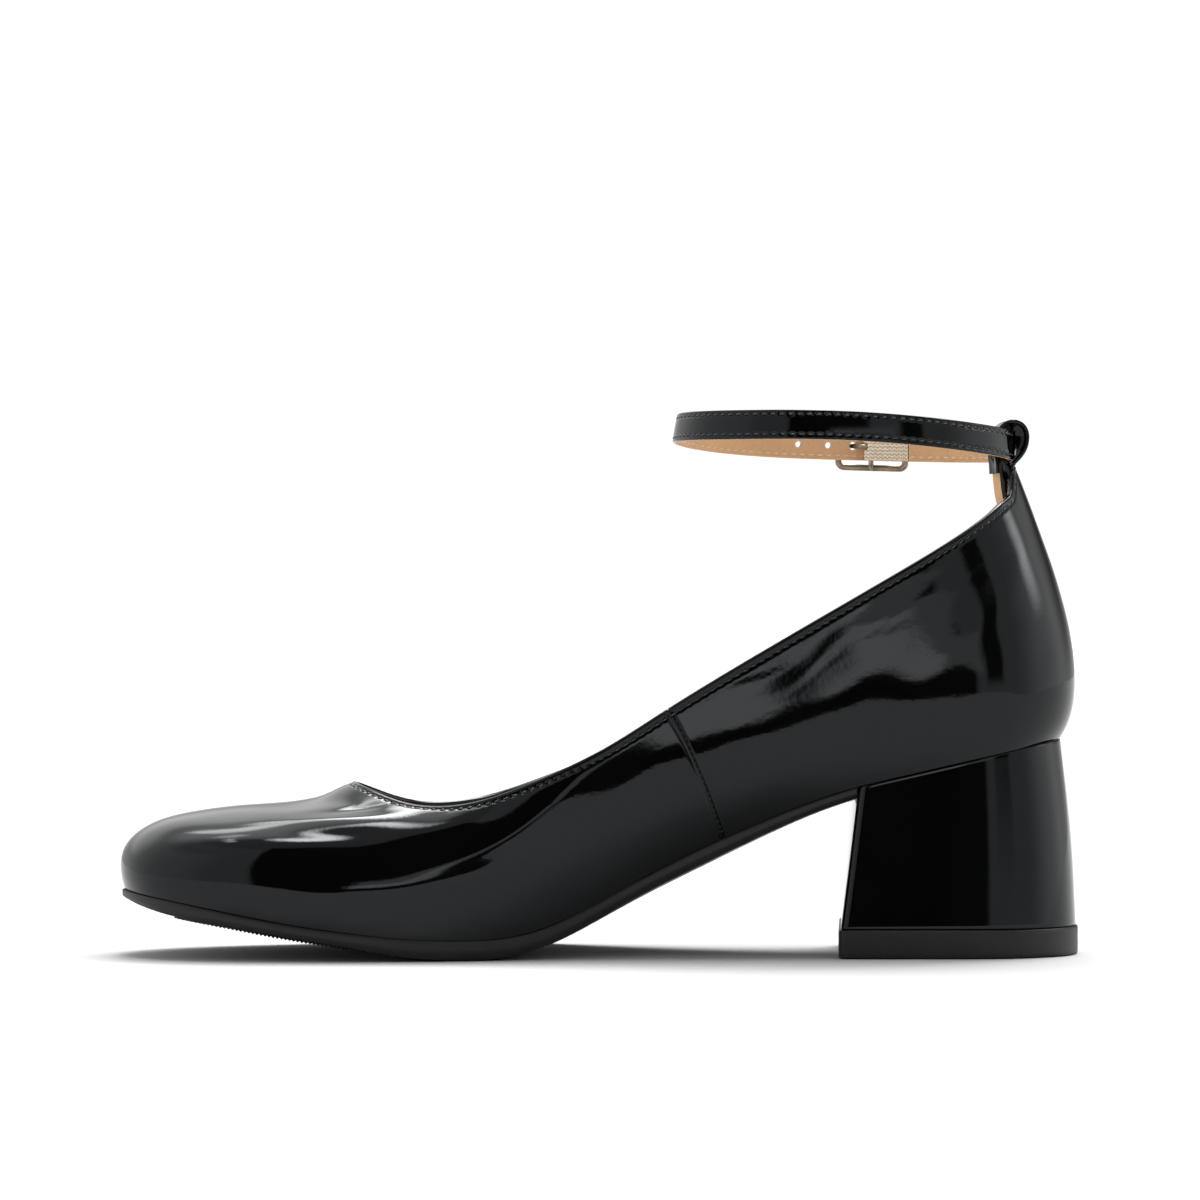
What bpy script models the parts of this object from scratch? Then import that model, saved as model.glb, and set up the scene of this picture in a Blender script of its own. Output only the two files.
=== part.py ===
"""Block heel pump with an ankle strap, one right shoe. Lengths in the tables are millimetres."""
import math

import bpy
import bmesh
import numpy as np
from mathutils import Vector

# Driving dimensions, in millimetres unless named otherwise
MM = 0.001
FIT_GAP = 0.3
WALL = 1.6
SEAM_STEP = 0.7
SEAM_FADE = 11.0
COLUMNS = 96
ROWS = 11
SOLE_PROUD = 0.7
SOLE_TIP_PROUD = 0.2
INSOLE_INSET = 2.3
INSOLE_THICK = 2.4
BREAST_TOP = 63.5
BREAST_FOOT = 60.2
LIFT_THICK = 7.0
LIFT_PROUD = 0.5
HEEL_MEDIAL = (-24.2, -26.2)
HEEL_LATERAL = (25.7, 27.4)
HEEL_SIDE_END = 86.0
HEEL_CORNER = 2.2
STRAP_WIDTH = 7.3
STRAP_THICK = 1.6
STRAP_START = 10.2
STRAP_TAIL = 29.0
ELASTIC_WIDTH = 7.1
ELASTIC_THICK = 0.8
ELASTIC_END = 9.9
LOOP_WIDTH = 12.0
LOOP_THICK = 1.2
LOOP_BEND = 13.5
FRAME_LENGTH = 16.3
FRAME_HEIGHT = 11.0
FRAME_WIRE = 0.8
FRAME_OUT = 3.4
BAR_WIRE = 0.65
BAR_OUT = 1.6
PRONG_WIRE = 0.5
HOLE_RADIUS = 0.8
PRONG_HOLE_RADIUS = 1.35
HOLES_ALONG = (-18.6, -10.9)
PRONG_HOLE_ALONG = -4.7

# The last, one row for each section round the shoe from the toe along the medial side to the heel and back
SECTION_COLUMNS = (
    "feather_x", "feather_y", "wall_out", "wall_up", "crown_reach", "crown_out", "crown_up",
    "top_x", "top_y", "top_z",
)
SECTIONS = {
    "toe centre": (-118.2, -5.0, 6.4, 19.0, 0.24, 0.0, 16.6, -60.5, -3.5, 42.8),
    "medial toe corner": (-110.5, -25.0, 4.0, 17.0, 0.24, 0.0, 17.0, -57.6, -11.5, 41.7),
    "medial toe side": (-92.0, -33.8, 4.0, 15.0, 0.26, 1.0, 20.0, -52.6, -17.3, 39.8),
    "medial ball": (-66.0, -36.8, 3.0, 12.0, 0.30, 1.0, 24.0, -44.0, -22.2, 37.7),
    "medial behind ball": (-38.0, -34.6, 3.0, 12.0, 0.40, 2.0, 25.0, -31.0, -25.8, 38.7),
    "medial waist front": (-12.0, -27.6, 4.0, 13.0, 0.50, 3.0, 27.0, -15.0, -27.4, 44.3),
    "medial waist": (10.0, -22.0, 5.0, 13.0, 0.60, 3.0, 24.0, 1.0, -28.3, 51.8),
    "medial seam": (30.0, -20.6, 5.0, 13.0, 0.60, 3.0, 24.0, 15.7, -28.6, 60.9),
    "medial breast": (55.0, -22.9, 5.0, 14.0, 0.60, 3.0, 26.0, 42.0, -27.9, 76.8),
    "medial seat": (80.0, -24.6, 5.0, 14.0, 0.60, 2.0, 30.0, 70.0, -25.0, 93.1),
    "medial heel corner": (102.0, -21.2, 6.0, 14.0, 0.30, 1.0, 36.0, 92.0, -19.6, 106.6),
    "medial heel round": (111.3, -12.4, 7.6, 14.3, 0.18, 0.4, 40.0, 99.9, -12.4, 114.0),
    "heel back": (115.2, 0.8, 9.0, 14.5, 0.09, 0.0, 42.0, 103.5, 0.8, 120.0),
    "lateral heel round": (111.3, 14.0, 7.6, 14.3, 0.18, 0.4, 40.0, 99.9, 14.0, 113.7),
    "lateral heel corner": (102.0, 22.8, 6.0, 14.0, 0.30, 1.0, 36.0, 92.0, 21.2, 106.1),
    "lateral seat": (80.0, 26.1, 5.0, 14.0, 0.60, 2.0, 30.0, 70.0, 26.6, 91.6),
    "lateral breast": (55.0, 25.6, 5.0, 14.0, 0.60, 3.0, 26.0, 42.0, 29.4, 74.6),
    "lateral waist back": (30.0, 27.0, 4.0, 13.0, 0.60, 3.0, 24.0, 15.7, 29.8, 58.6),
    "lateral waist": (10.0, 30.2, 4.0, 13.0, 0.60, 3.0, 24.0, 1.0, 29.6, 49.8),
    "lateral waist front": (-12.0, 34.4, 3.0, 13.0, 0.50, 2.0, 26.0, -15.0, 28.2, 43.0),
    "lateral ball": (-38.0, 36.8, 2.0, 11.0, 0.40, 1.0, 25.0, -31.0, 25.0, 38.0),
    "lateral forefoot": (-66.0, 34.4, 2.0, 11.0, 0.30, 0.0, 23.0, -44.0, 18.6, 37.0),
    "lateral toe side": (-92.0, 26.6, 3.0, 14.0, 0.26, 0.0, 19.0, -52.6, 11.4, 39.2),
    "lateral toe corner": (-110.5, 14.0, 4.0, 16.0, 0.24, 0.0, 16.5, -57.6, 4.6, 41.4),
}

# Height of the feather line, where the upper meets the sole, along the shoe
FEATHER_COLUMNS = ("x", "height")
FEATHER = (
    (-120.0, 16.6),
    (-105.0, 14.3),
    (-90.0, 11.5),
    (-75.0, 8.8),
    (-60.0, 6.7),
    (-46.0, 5.3),
    (-34.0, 4.9),
    (-23.0, 5.4),
    (-12.0, 8.2),
    (0.0, 14.0),
    (12.0, 20.6),
    (30.0, 29.4),
    (45.0, 35.8),
    (60.0, 41.2),
    (75.0, 45.0),
    (95.0, 49.6),
    (116.0, 54.0),
)

# Thickness of the sole's edge under the feather line, how far its middle hangs lower, and its lower bevel
SOLE_COLUMNS = ("x", "edge_thick", "belly", "bevel")
SOLE = (
    (-119.0, 1.7, 0.0, 0.5),
    (-116.0, 2.4, 0.1, 1.2),
    (-111.0, 3.3, 0.2, 2.0),
    (-103.0, 3.9, 0.4, 2.2),
    (-92.0, 3.5, 0.9, 2.2),
    (-75.0, 3.2, 1.2, 2.0),
    (-60.0, 3.6, 1.0, 1.8),
    (-46.0, 4.5, 0.6, 1.6),
    (-34.0, 4.7, 0.4, 1.5),
    (-22.0, 4.7, 0.4, 1.6),
    (-10.0, 4.3, 0.6, 2.0),
    (5.0, 4.1, 0.8, 2.6),
    (20.0, 4.4, 0.8, 3.0),
    (37.0, 3.9, 0.7, 3.0),
    (51.0, 3.2, 0.6, 2.8),
    (64.0, 2.8, 0.5, 2.6),
)

# Back line of the heel block from the seat down
HEEL_BACK_COLUMNS = ("share_down", "x")
HEEL_BACK = ((0.0, 114.9), (0.25, 116.3), (0.55, 117.7), (0.8, 118.4), (1.0, 118.8))

# The ankle strap's ring, from the middle of the lateral side round the back
RING_COLUMNS = ("x", "y", "z", "lean_deg")
RING = {
    "lateral middle": (60.0, 31.0, 127.5, 3.0),
    "lateral back": (88.0, 23.5, 126.7, 0.0),
    "back": (102.2, 0.8, 126.4, 0.0),
    "medial back": (88.0, -22.5, 128.4, 0.0),
    "medial middle": (60.0, -30.0, 130.6, 3.0),
    "medial front": (31.0, -22.0, 131.0, 7.0),
    "front": (19.4, 0.5, 130.8, 10.0),
    "lateral front": (31.0, 23.0, 129.0, 7.0),
}
BAR_X = 69.2

# How far the long end of the strap stands out from the ring as it weaves through the buckle
WEAVE_COLUMNS = ("along", "out")
WEAVE = (
    (-34.0, 0.0),
    (-26.0, 0.0),
    (-16.0, 0.5),
    (-8.1, 1.5),
    (-4.7, 2.85),
    (0.0, 4.45),
    (4.7, 2.95),
    (8.1, 1.62),
    (12.0, 1.95),
    (24.0, 1.95),
    (44.0, 1.95),
)

# Paths of the elastic and of the prong in the ring's own directions, and of the loop in the middle plane
WRAP_COLUMNS = ("along", "out")
ELASTIC_WRAP = ((9.9, 0.0), (6.5, 0.0), (3.4, 0.1), (1.4, 0.2))
ELASTIC_TURN = (-90.0, -260.0, 9)
ELASTIC_LIP = ((1.7, 2.6), (3.4, 1.75))
PRONG_TURN = (40.0, -95.0, 9)
PRONG_REACH = ((-1.7, 0.3), (-3.0, 1.25), (-4.7, 2.85), (-6.4, 4.35), (-8.1, 5.0), (-9.3, 5.15))
LOOP_COLUMNS = ("x", "z")
LOOP = (
    (104.4, 111.4),
    (103.35, 113.9),
    (102.2, 116.6),
    (101.15, 119.0),
    (101.95, 120.4),
    (103.6, 121.3),
    (105.3, 122.7),
    (106.4, 125.2),
    (106.5, 128.6),
    (105.6, 131.3),
    (103.6, 132.4),
    (101.2, 131.6),
    (99.8, 129.4),
    (99.5, 126.0),
    (99.8, 122.8),
    (99.9, 120.1),
)


class Spline:
    """A cubic through rows of numbers with an even second derivative, closed or with free ends."""

    def __init__(self, knots, rows, period=None):
        self.knots = np.asarray(knots, float)
        self.rows = np.asarray(rows, float).reshape(len(self.knots), -1)
        self.period = period
        count = len(self.knots)
        matrix = np.zeros((count, count))
        right = np.zeros_like(self.rows)
        if period is None:
            span = np.diff(self.knots)
            rate = np.diff(self.rows, axis=0) / span[:, None]
            matrix[0, :2] = 2, 1
            matrix[-1, -2:] = 1, 2
            right[0] = 3 * rate[0]
            right[-1] = 3 * rate[-1]
            inner = range(1, count - 1)
        else:
            span = np.append(np.diff(self.knots), period - self.knots[-1] + self.knots[0])
            rate = (np.roll(self.rows, -1, 0) - self.rows) / span[:, None]
            inner = range(count)
        for i in inner:
            before = span[i - 1]
            after = span[i]
            matrix[i, i - 1] += after
            matrix[i, i] += 2 * (before + after)
            matrix[i, (i + 1) % count] += before
            right[i] = 3 * (after * rate[i - 1] + before * rate[i])
        self.span = span
        self.tangent = np.linalg.solve(matrix, right)

    def locate(self, where):
        where = np.asarray(where, float)
        if self.period is not None:
            where = self.knots[0] + np.mod(where - self.knots[0], self.period)
        i = np.clip(np.searchsorted(self.knots, where, side="right") - 1, 0, len(self.span) - 1)
        u = (where - self.knots[i]) / self.span[i]
        return i, (i + 1) % len(self.knots), u[..., None], self.span[i][..., None]

    def __call__(self, where):
        i, j, u, h = self.locate(where)
        start = (1 + 2 * u) * (1 - u) ** 2 * self.rows[i] + u * (1 - u) ** 2 * h * self.tangent[i]
        return start + u * u * (3 - 2 * u) * self.rows[j] + u * u * (u - 1) * h * self.tangent[j]

    def slope(self, where):
        small = 1e-5 * float(np.mean(self.span))
        return (self(np.asarray(where) + small) - self(np.asarray(where) - small)) / (2 * small)


def chords(points):
    return np.linalg.norm(np.roll(points, -1, 0) - points, axis=1)


def closed_spline(rows, lengths):
    knots = np.concatenate([[0.0], np.cumsum(lengths)[:-1]]) / np.sum(lengths)
    return Spline(knots, rows, period=1.0), knots


SECTION_ROWS = np.array(list(SECTIONS.values()))
ROUND, SECTION_KNOTS = closed_spline(
    SECTION_ROWS, 0.5 * (chords(SECTION_ROWS[:, :2]) + chords(SECTION_ROWS[:, 7:])))
SECTION_AT = dict(zip(SECTIONS, SECTION_KNOTS))
ROUND_LENGTH = float(np.sum(0.5 * (chords(SECTION_ROWS[:, :2]) + chords(SECTION_ROWS[:, 7:]))))
FEATHER_LINE = Spline([row[0] for row in FEATHER], [row[1] for row in FEATHER])
RING_ROWS = np.array(list(RING.values()))
STRAP_RING, RING_KNOTS = closed_spline(RING_ROWS, chords(RING_ROWS[:, :3]))
RING_SCAN = np.linspace(0.0, 1.0, 4001)
RING_STEPS = np.linalg.norm(np.diff(STRAP_RING(RING_SCAN)[:, :3], axis=0), axis=1)
RING_RUN = np.concatenate([[0.0], np.cumsum(RING_STEPS)])
RING_LENGTH = float(RING_RUN[-1])


def unit(vectors):
    return vectors / np.linalg.norm(vectors, axis=-1, keepdims=True)


def feather(around, inset=0.0):
    """Point of the feather line, moved in by inset."""
    around = np.asarray(around, float)
    place = ROUND(around)[..., :2]
    run = ROUND.slope(around)[..., :2]
    inward = unit(np.stack([-run[..., 1], run[..., 0]], -1))
    height = FEATHER_LINE(place[..., 0])
    return np.concatenate([place + inward * inset, height], -1), inward


def last_surface(around, up):
    """Outside of the upper: around the shoe from 0 to 1, up the wall from the feather 0 to the topline 1."""
    around, up = np.broadcast_arrays(np.asarray(around, float), np.asarray(up, float))
    foot, inward = feather(around)
    columns = ROUND(around)
    top = columns[..., 7:10]
    reach = columns[..., 4:5]
    lean = np.maximum(reach - 0.3, 0.0)
    wall = foot.copy()
    wall[..., :2] += (top - foot)[..., :2] * lean - inward * columns[..., 2:3]
    wall[..., 2] += columns[..., 3]
    crown = foot.copy()
    crown[..., :2] += (top - foot)[..., :2] * reach - inward * columns[..., 5:6]
    crown[..., 2] += columns[..., 6]
    w = up[..., None]
    return (1 - w) ** 3 * foot + 3 * w * (1 - w) ** 2 * wall + 3 * w * w * (1 - w) * crown + w ** 3 * top


def last_normal(around, up):
    small = 1e-4
    low = np.clip(np.asarray(up, float) - small, 0, 1)
    high = np.clip(np.asarray(up, float) + small, 0, 1)
    along = last_surface(around + small, up) - last_surface(around - small, up)
    rise = last_surface(around, high) - last_surface(around, low)
    return unit(np.cross(along, rise))


def ring_frame(along):
    """Place, run, outward and upward directions of the strap's ring, at mm behind the buckle's bar."""
    where = np.interp(np.mod(BAR_RUN + np.asarray(along, float), RING_LENGTH), RING_RUN, RING_SCAN)
    rows = STRAP_RING(where)
    run = STRAP_RING.slope(where)[..., :3]
    run[..., 2] = 0.0
    run = unit(run)
    outward = np.stack([-run[..., 1], run[..., 0], np.zeros_like(run[..., 0])], -1)
    lean = np.radians(rows[..., 3:4])
    upward = np.array([0.0, 0.0, 1.0]) * np.cos(lean) - outward * np.sin(lean)
    outward = outward * np.cos(lean) + np.array([0.0, 0.0, 1.0]) * np.sin(lean)
    return rows[..., :3], run, outward, upward


def ring_point(along, out, up=0.0):
    place, run, outward, upward = ring_frame(along)
    return place + outward * np.asarray(out, float)[..., None] + upward * np.asarray(up, float)[..., None]


BAR_RUN = float(np.interp(BAR_X, STRAP_RING(RING_SCAN[:600])[:, 0], RING_RUN[:600]))


def clear_scene():
    for item in list(bpy.data.objects):
        bpy.data.objects.remove(item, do_unlink=True)
    for group in list(bpy.data.collections):
        bpy.data.collections.remove(group)


def new_collection(name):
    group = bpy.data.collections.new(name)
    bpy.context.scene.collection.children.link(group)
    return group


def make_material(name, colour, roughness, metallic=0.0, coat=0.0):
    material = bpy.data.materials.new(name)
    material.use_nodes = True
    shader = material.node_tree.nodes["Principled BSDF"]
    shader.inputs["Base Color"].default_value = (*colour, 1.0)
    shader.inputs["Roughness"].default_value = roughness
    shader.inputs["Metallic"].default_value = metallic
    shader.inputs["Coat Weight"].default_value = coat
    material.diffuse_color = (*colour, 1.0)
    return material


def add_mesh(name, mesh, group, material):
    item = bpy.data.objects.new(name, mesh)
    if material is not None:
        mesh.materials.append(material)
    group.objects.link(item)
    return item


def loft(name, rings, group, material, closed=False):
    """A solid through rings of equal point counts, capped at both ends or closed on itself."""
    work = bmesh.new()
    loops = []
    for ring in rings:
        loops.append([work.verts.new(Vector(point) * MM) for point in ring])
    count = len(loops[0])
    pairs = len(loops) if closed else len(loops) - 1
    for i in range(pairs):
        low = loops[i]
        high = loops[(i + 1) % len(loops)]
        for j in range(count):
            k = (j + 1) % count
            work.faces.new((low[j], low[k], high[k], high[j]))
    if not closed:
        work.faces.new(list(reversed(loops[0])))
        work.faces.new(loops[-1])
    bmesh.ops.recalc_face_normals(work, faces=work.faces)
    mesh = bpy.data.meshes.new(name)
    work.to_mesh(mesh)
    work.free()
    return add_mesh(name, mesh, group, material)


def add_wire(name, points, radius, group, material, cyclic=False, sides=3):
    """A round wire along a path as a bevelled curve, turned into a mesh."""
    curve = bpy.data.curves.new(name + " path", "CURVE")
    curve.dimensions = "3D"
    curve.bevel_depth = radius * MM
    curve.bevel_resolution = sides
    curve.use_fill_caps = True
    line = curve.splines.new("POLY")
    line.points.add(len(points) - 1)
    for knot, point in zip(line.points, points):
        knot.co = (point[0] * MM, point[1] * MM, point[2] * MM, 1.0)
    line.use_cyclic_u = cyclic
    source = bpy.data.objects.new(name + " source", curve)
    group.objects.link(source)
    bpy.context.view_layer.update()
    mesh = bpy.data.meshes.new_from_object(source.evaluated_get(bpy.context.evaluated_depsgraph_get()))
    bpy.data.objects.remove(source, do_unlink=True)
    work = bmesh.new()
    work.from_mesh(mesh)
    bmesh.ops.remove_doubles(work, verts=work.verts, dist=1e-7)
    bmesh.ops.recalc_face_normals(work, faces=work.faces)
    work.to_mesh(mesh)
    work.free()
    mesh.name = name
    mesh.materials.clear()
    return add_mesh(name, mesh, group, material)


def boolean(item, cutter, operation):
    change = item.modifiers.new(operation.title() + " " + cutter.name, "BOOLEAN")
    change.operation = operation
    change.solver = "EXACT"
    change.object = cutter


def hide_cutter(item):
    item.hide_render = True
    item.display_type = "WIRE"
    return item


def side_lines(inset):
    """Medial and lateral edge of the bottom as y against x."""
    half = SECTION_AT["heel back"]
    medial, _ = feather(np.linspace(0.0, half, 700), inset)
    lateral, _ = feather(np.linspace(half, 1.0, 700), inset)
    lines = []
    for side in (medial, lateral):
        order = np.argsort(side[:, 0])
        lines.append((side[order, 0], side[order, 1]))
    return lines


def bottom_width(lines, x):
    return float(np.interp(x, *lines[0])), float(np.interp(x, *lines[1]))


def toe_stations(start, stop, fine, coarse, reach):
    near = start + reach * np.linspace(0.0, 1.0, fine) ** 2
    return np.concatenate([near, np.linspace(start + reach, stop, coarse)[1:]])


def build_upper(group, material):
    seam = SECTION_AT["medial seam"]
    around = np.linspace(0.0, 1.0, COLUMNS, endpoint=False)
    around[np.argmin(np.abs(around - seam))] = seam - 0.25 / ROUND_LENGTH
    around = np.sort(np.append(around, seam + 0.25 / ROUND_LENGTH))
    up = np.linspace(0.0, 1.0, ROWS + 1)
    rings = []
    for where in around:
        line = np.full_like(up, where)
        outside = last_surface(line, up)
        normal = last_normal(line, up)
        inside = outside - normal * WALL
        behind = (where - seam) * ROUND_LENGTH
        if 0.0 < behind < 4 * SEAM_FADE:
            outside = outside + normal * SEAM_STEP * math.exp(-(behind / SEAM_FADE) ** 2)
        rings.append(np.concatenate([outside, inside[::-1]]))
    return loft("upper", rings, group, material, closed=True)


def build_outsole(group, material):
    lines = side_lines(-SOLE_PROUD)
    tip = SECTIONS["toe centre"][0] - SOLE_TIP_PROUD
    profile = Spline([row[0] for row in SOLE], [row[1:] for row in SOLE])
    rings = []
    for x in toe_stations(tip, BREAST_TOP - 0.4, 12, 40, 14.0):
        medial, lateral = bottom_width(lines, x)
        thick, belly, bevel = profile(np.array([x]))[0]
        top = float(FEATHER_LINE(np.array([x]))[0, 0]) - FIT_GAP
        edge_low = max(top - thick, 0.0)
        low = max(edge_low - belly, 0.0)
        waist = min(max((x + 15.0) / 30.0, 0.0), 1.0)
        medial += 1.2 * waist
        lateral -= 1.2 * waist
        width = lateral - medial
        bevel = min(bevel, 0.3 * width)
        side = top - 0.62 * thick
        edge = min(0.35, 0.1 * width)
        ring = [(x, medial + edge, top), (x, medial, top - 0.2 * thick), (x, medial + 0.15 * edge, side)]
        for share in (0.0, 0.14, 0.32, 0.5, 0.68, 0.86, 1.0):
            height = edge_low if share in (0.0, 1.0) else low
            ring.append((x, medial + 0.5 * bevel + (width - bevel) * share, height))
        ring += [(x, lateral - 0.15 * edge, side), (x, lateral, top - 0.2 * thick), (x, lateral - edge, top)]
        for share in (0.75, 0.5, 0.25):
            ring.append((x, medial + width * share, top))
        rings.append(ring)
    return loft("outsole", rings, group, material)


def build_insole(group, material):
    lines = side_lines(INSOLE_INSET)
    start = max(lines[0][0][0], lines[1][0][0]) + 0.1
    stop = min(lines[0][0][-1], lines[1][0][-1]) - 0.1
    middle = 0.5 * (start + stop)
    front = toe_stations(start, middle, 10, 17, 12.0)
    back = (start + stop) - front[::-1]
    rings = []
    for x in np.concatenate([front, back[1:]]):
        medial, lateral = bottom_width(lines, x)
        low = float(FEATHER_LINE(np.array([x]))[0, 0])
        high = low + INSOLE_THICK
        ring = [(x, medial + (lateral - medial) * share, low) for share in (0.0, 0.2, 0.5, 0.8, 1.0)]
        ring += [(x, medial + (lateral - medial) * share, high) for share in (1.0, 0.8, 0.5, 0.2, 0.0)]
        rings.append(ring)
    return loft("insole", rings, group, material)


def heel_outline(front, back, medial, lateral, corner):
    """Flat breast with round corners, straight sides and a round back, as x and y from the medial corner."""
    centre = 0.5 * (medial + lateral)
    half = 0.5 * (lateral - medial)
    points = []
    for turn in (0.0, 30.0, 60.0, 90.0):
        a = math.radians(turn)
        points.append((front + corner * (1 - math.sin(a)), medial + corner * (1 - math.cos(a))))
    points.reverse()
    for x in np.linspace(front + corner, HEEL_SIDE_END, 6)[1:-1]:
        points.append((x, medial))
    for turn in np.linspace(0.0, math.pi, 25):
        reach = math.copysign(abs(math.sin(turn)) ** (2 / 2.35), math.sin(turn))
        across = math.copysign(abs(math.cos(turn)) ** (2 / 2.35), math.cos(turn))
        points.append((HEEL_SIDE_END + (back - HEEL_SIDE_END) * reach, centre - half * across))
    for x in np.linspace(HEEL_SIDE_END, front + corner, 6)[1:-1]:
        points.append((x, lateral))
    for turn in (0.0, 30.0, 60.0, 90.0):
        a = math.radians(turn)
        points.append((front + corner * (1 - math.sin(a)), lateral - corner * (1 - math.cos(a))))
    return points


def build_heel(group, material):
    back_line = Spline([row[0] for row in HEEL_BACK], [row[1] for row in HEEL_BACK])
    foot = LIFT_THICK + FIT_GAP
    rings = []
    for down in np.linspace(0.0, 1.0, 7):
        front = BREAST_TOP + (BREAST_FOOT - BREAST_TOP) * down
        back = float(back_line(np.array([down]))[0, 0])
        medial = HEEL_MEDIAL[0] + (HEEL_MEDIAL[1] - HEEL_MEDIAL[0]) * down
        lateral = HEEL_LATERAL[0] + (HEEL_LATERAL[1] - HEEL_LATERAL[0]) * down
        ring = []
        for x, y in heel_outline(front, back, medial, lateral, HEEL_CORNER):
            seat = float(FEATHER_LINE(np.array([x]))[0, 0]) - FIT_GAP
            ring.append((x, y, seat + (foot - seat) * down))
        rings.append(ring)
    return loft("heel_block", rings, group, material)


def build_top_lift(group, material):
    rings = []
    for height, shrink in ((0.0, 0.5), (0.6, 0.0), (LIFT_THICK - 0.4, 0.0), (LIFT_THICK, 0.3)):
        grow = LIFT_PROUD - shrink
        outline = heel_outline(BREAST_FOOT - grow, HEEL_BACK[-1][1] + grow, HEEL_MEDIAL[1] - grow,
                               HEEL_LATERAL[1] + grow, HEEL_CORNER)
        rings.append([(x, y, height) for x, y in outline])
    return loft("top_lift", rings, group, material)


def strip_ring(centre, out_way, up_way, thick, width, round_off=0.3):
    """Section of a flat strip with eased edges."""
    t = 0.5 * thick
    w = 0.5 * width
    e = round_off
    corners = ((t - e, -w), (t, -w + e), (t, w - e), (t - e, w), (e - t, w), (-t, w - e), (-t, e - w), (e - t, -w))
    return [centre + out_way * a + up_way * b for a, b in corners]


def build_strap(parts, cutters, material):
    weave = Spline([row[0] for row in WEAVE], [row[1] for row in WEAVE])
    turn = RING_LENGTH
    stop = turn + STRAP_TAIL
    weave_start = turn + WEAVE[0][0]
    plain = np.linspace(STRAP_START, weave_start, 62)
    woven = np.linspace(weave_start, stop, 46)[1:]
    along = np.concatenate([plain, woven])
    behind_bar = along - turn
    out = np.where(behind_bar > WEAVE[0][0], weave(np.clip(behind_bar, WEAVE[0][0], WEAVE[-1][0]))[:, 0], 0.0)
    place, run, outward, upward = ring_frame(along)
    centre = place + outward * out[:, None]
    path = unit(np.gradient(centre, axis=0))
    face = unit(np.cross(path, upward))
    width = np.full(len(along), STRAP_WIDTH)
    from_tip = (stop - along) / 3.5
    tip = from_tip < 1.0
    width[tip] *= 0.35 + 0.65 * np.sqrt(1 - (1 - from_tip[tip]) ** 2)
    rings = [strip_ring(*section) for section in zip(centre, face, upward, [STRAP_THICK] * len(along), width)]
    strap = loft("ankle_strap", rings, parts, material)
    marks = [(place_along, HOLE_RADIUS) for place_along in HOLES_ALONG]
    marks.append((PRONG_HOLE_ALONG, PRONG_HOLE_RADIUS))
    for number, (mark, radius) in enumerate(marks, 1):
        i = int(np.argmin(np.abs(behind_bar - mark)))
        share = np.interp(mark, behind_bar, np.arange(len(along)))
        spot = np.array([np.interp(share, np.arange(len(along)), centre[:, axis]) for axis in range(3)])
        work = bmesh.new()
        bmesh.ops.create_cone(work, cap_ends=True, segments=14, radius1=radius * MM, radius2=radius * MM,
                              depth=4.0 * MM)
        turn_to = Vector((0.0, 0.0, 1.0)).rotation_difference(Vector(face[i]))
        bmesh.ops.rotate(work, verts=work.verts, cent=(0.0, 0.0, 0.0), matrix=turn_to.to_matrix())
        bmesh.ops.translate(work, verts=work.verts, vec=Vector(spot) * MM)
        mesh = bpy.data.meshes.new(f"strap hole {number}")
        work.to_mesh(mesh)
        work.free()
        cutter = hide_cutter(add_mesh(f"strap hole {number}", mesh, cutters, None))
        boolean(strap, cutter, "DIFFERENCE")
    return strap


def path_strip(name, path, width, thick, group, material):
    """A strip whose path is given as along and out of the strap's ring."""
    along = np.array([point[0] for point in path])
    out = np.array([point[1] for point in path])
    centre = ring_point(along, out)
    _, _, _, upward = ring_frame(along)
    run = unit(np.gradient(centre, axis=0))
    face = unit(np.cross(run, upward))
    rings = [strip_ring(c, f, u, thick, width, 0.2) for c, f, u in zip(centre, face, upward)]
    return loft(name, rings, group, material)


def turn_points(radius, turn):
    start, stop, count = turn
    points = []
    for angle in np.radians(np.linspace(start, stop, count)):
        points.append((radius * math.cos(angle), BAR_OUT + radius * math.sin(angle)))
    return points


def build_elastic(parts, cutters, material):
    radius = BAR_WIRE + FIT_GAP + 0.5 * ELASTIC_THICK
    path = list(ELASTIC_WRAP) + turn_points(radius, ELASTIC_TURN) + list(ELASTIC_LIP)
    elastic = path_strip("elastic_gore", path, ELASTIC_WIDTH, ELASTIC_THICK, parts, material)
    place, run, outward, upward = ring_frame(np.array(0.0))
    centre = place + outward * BAR_OUT + run * 0.1
    corners = []
    half = PRONG_WIRE + FIT_GAP
    for a in (-3.0, 2.6):
        ring = []
        for b, c in ((-3.0, -half), (3.0, -half), (3.0, half), (-3.0, half)):
            ring.append(centre + run * a + outward * b + upward * c)
        corners.append(ring)
    cutter = hide_cutter(loft("elastic slot", corners, cutters, None))
    boolean(elastic, cutter, "DIFFERENCE")
    return elastic


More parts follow.
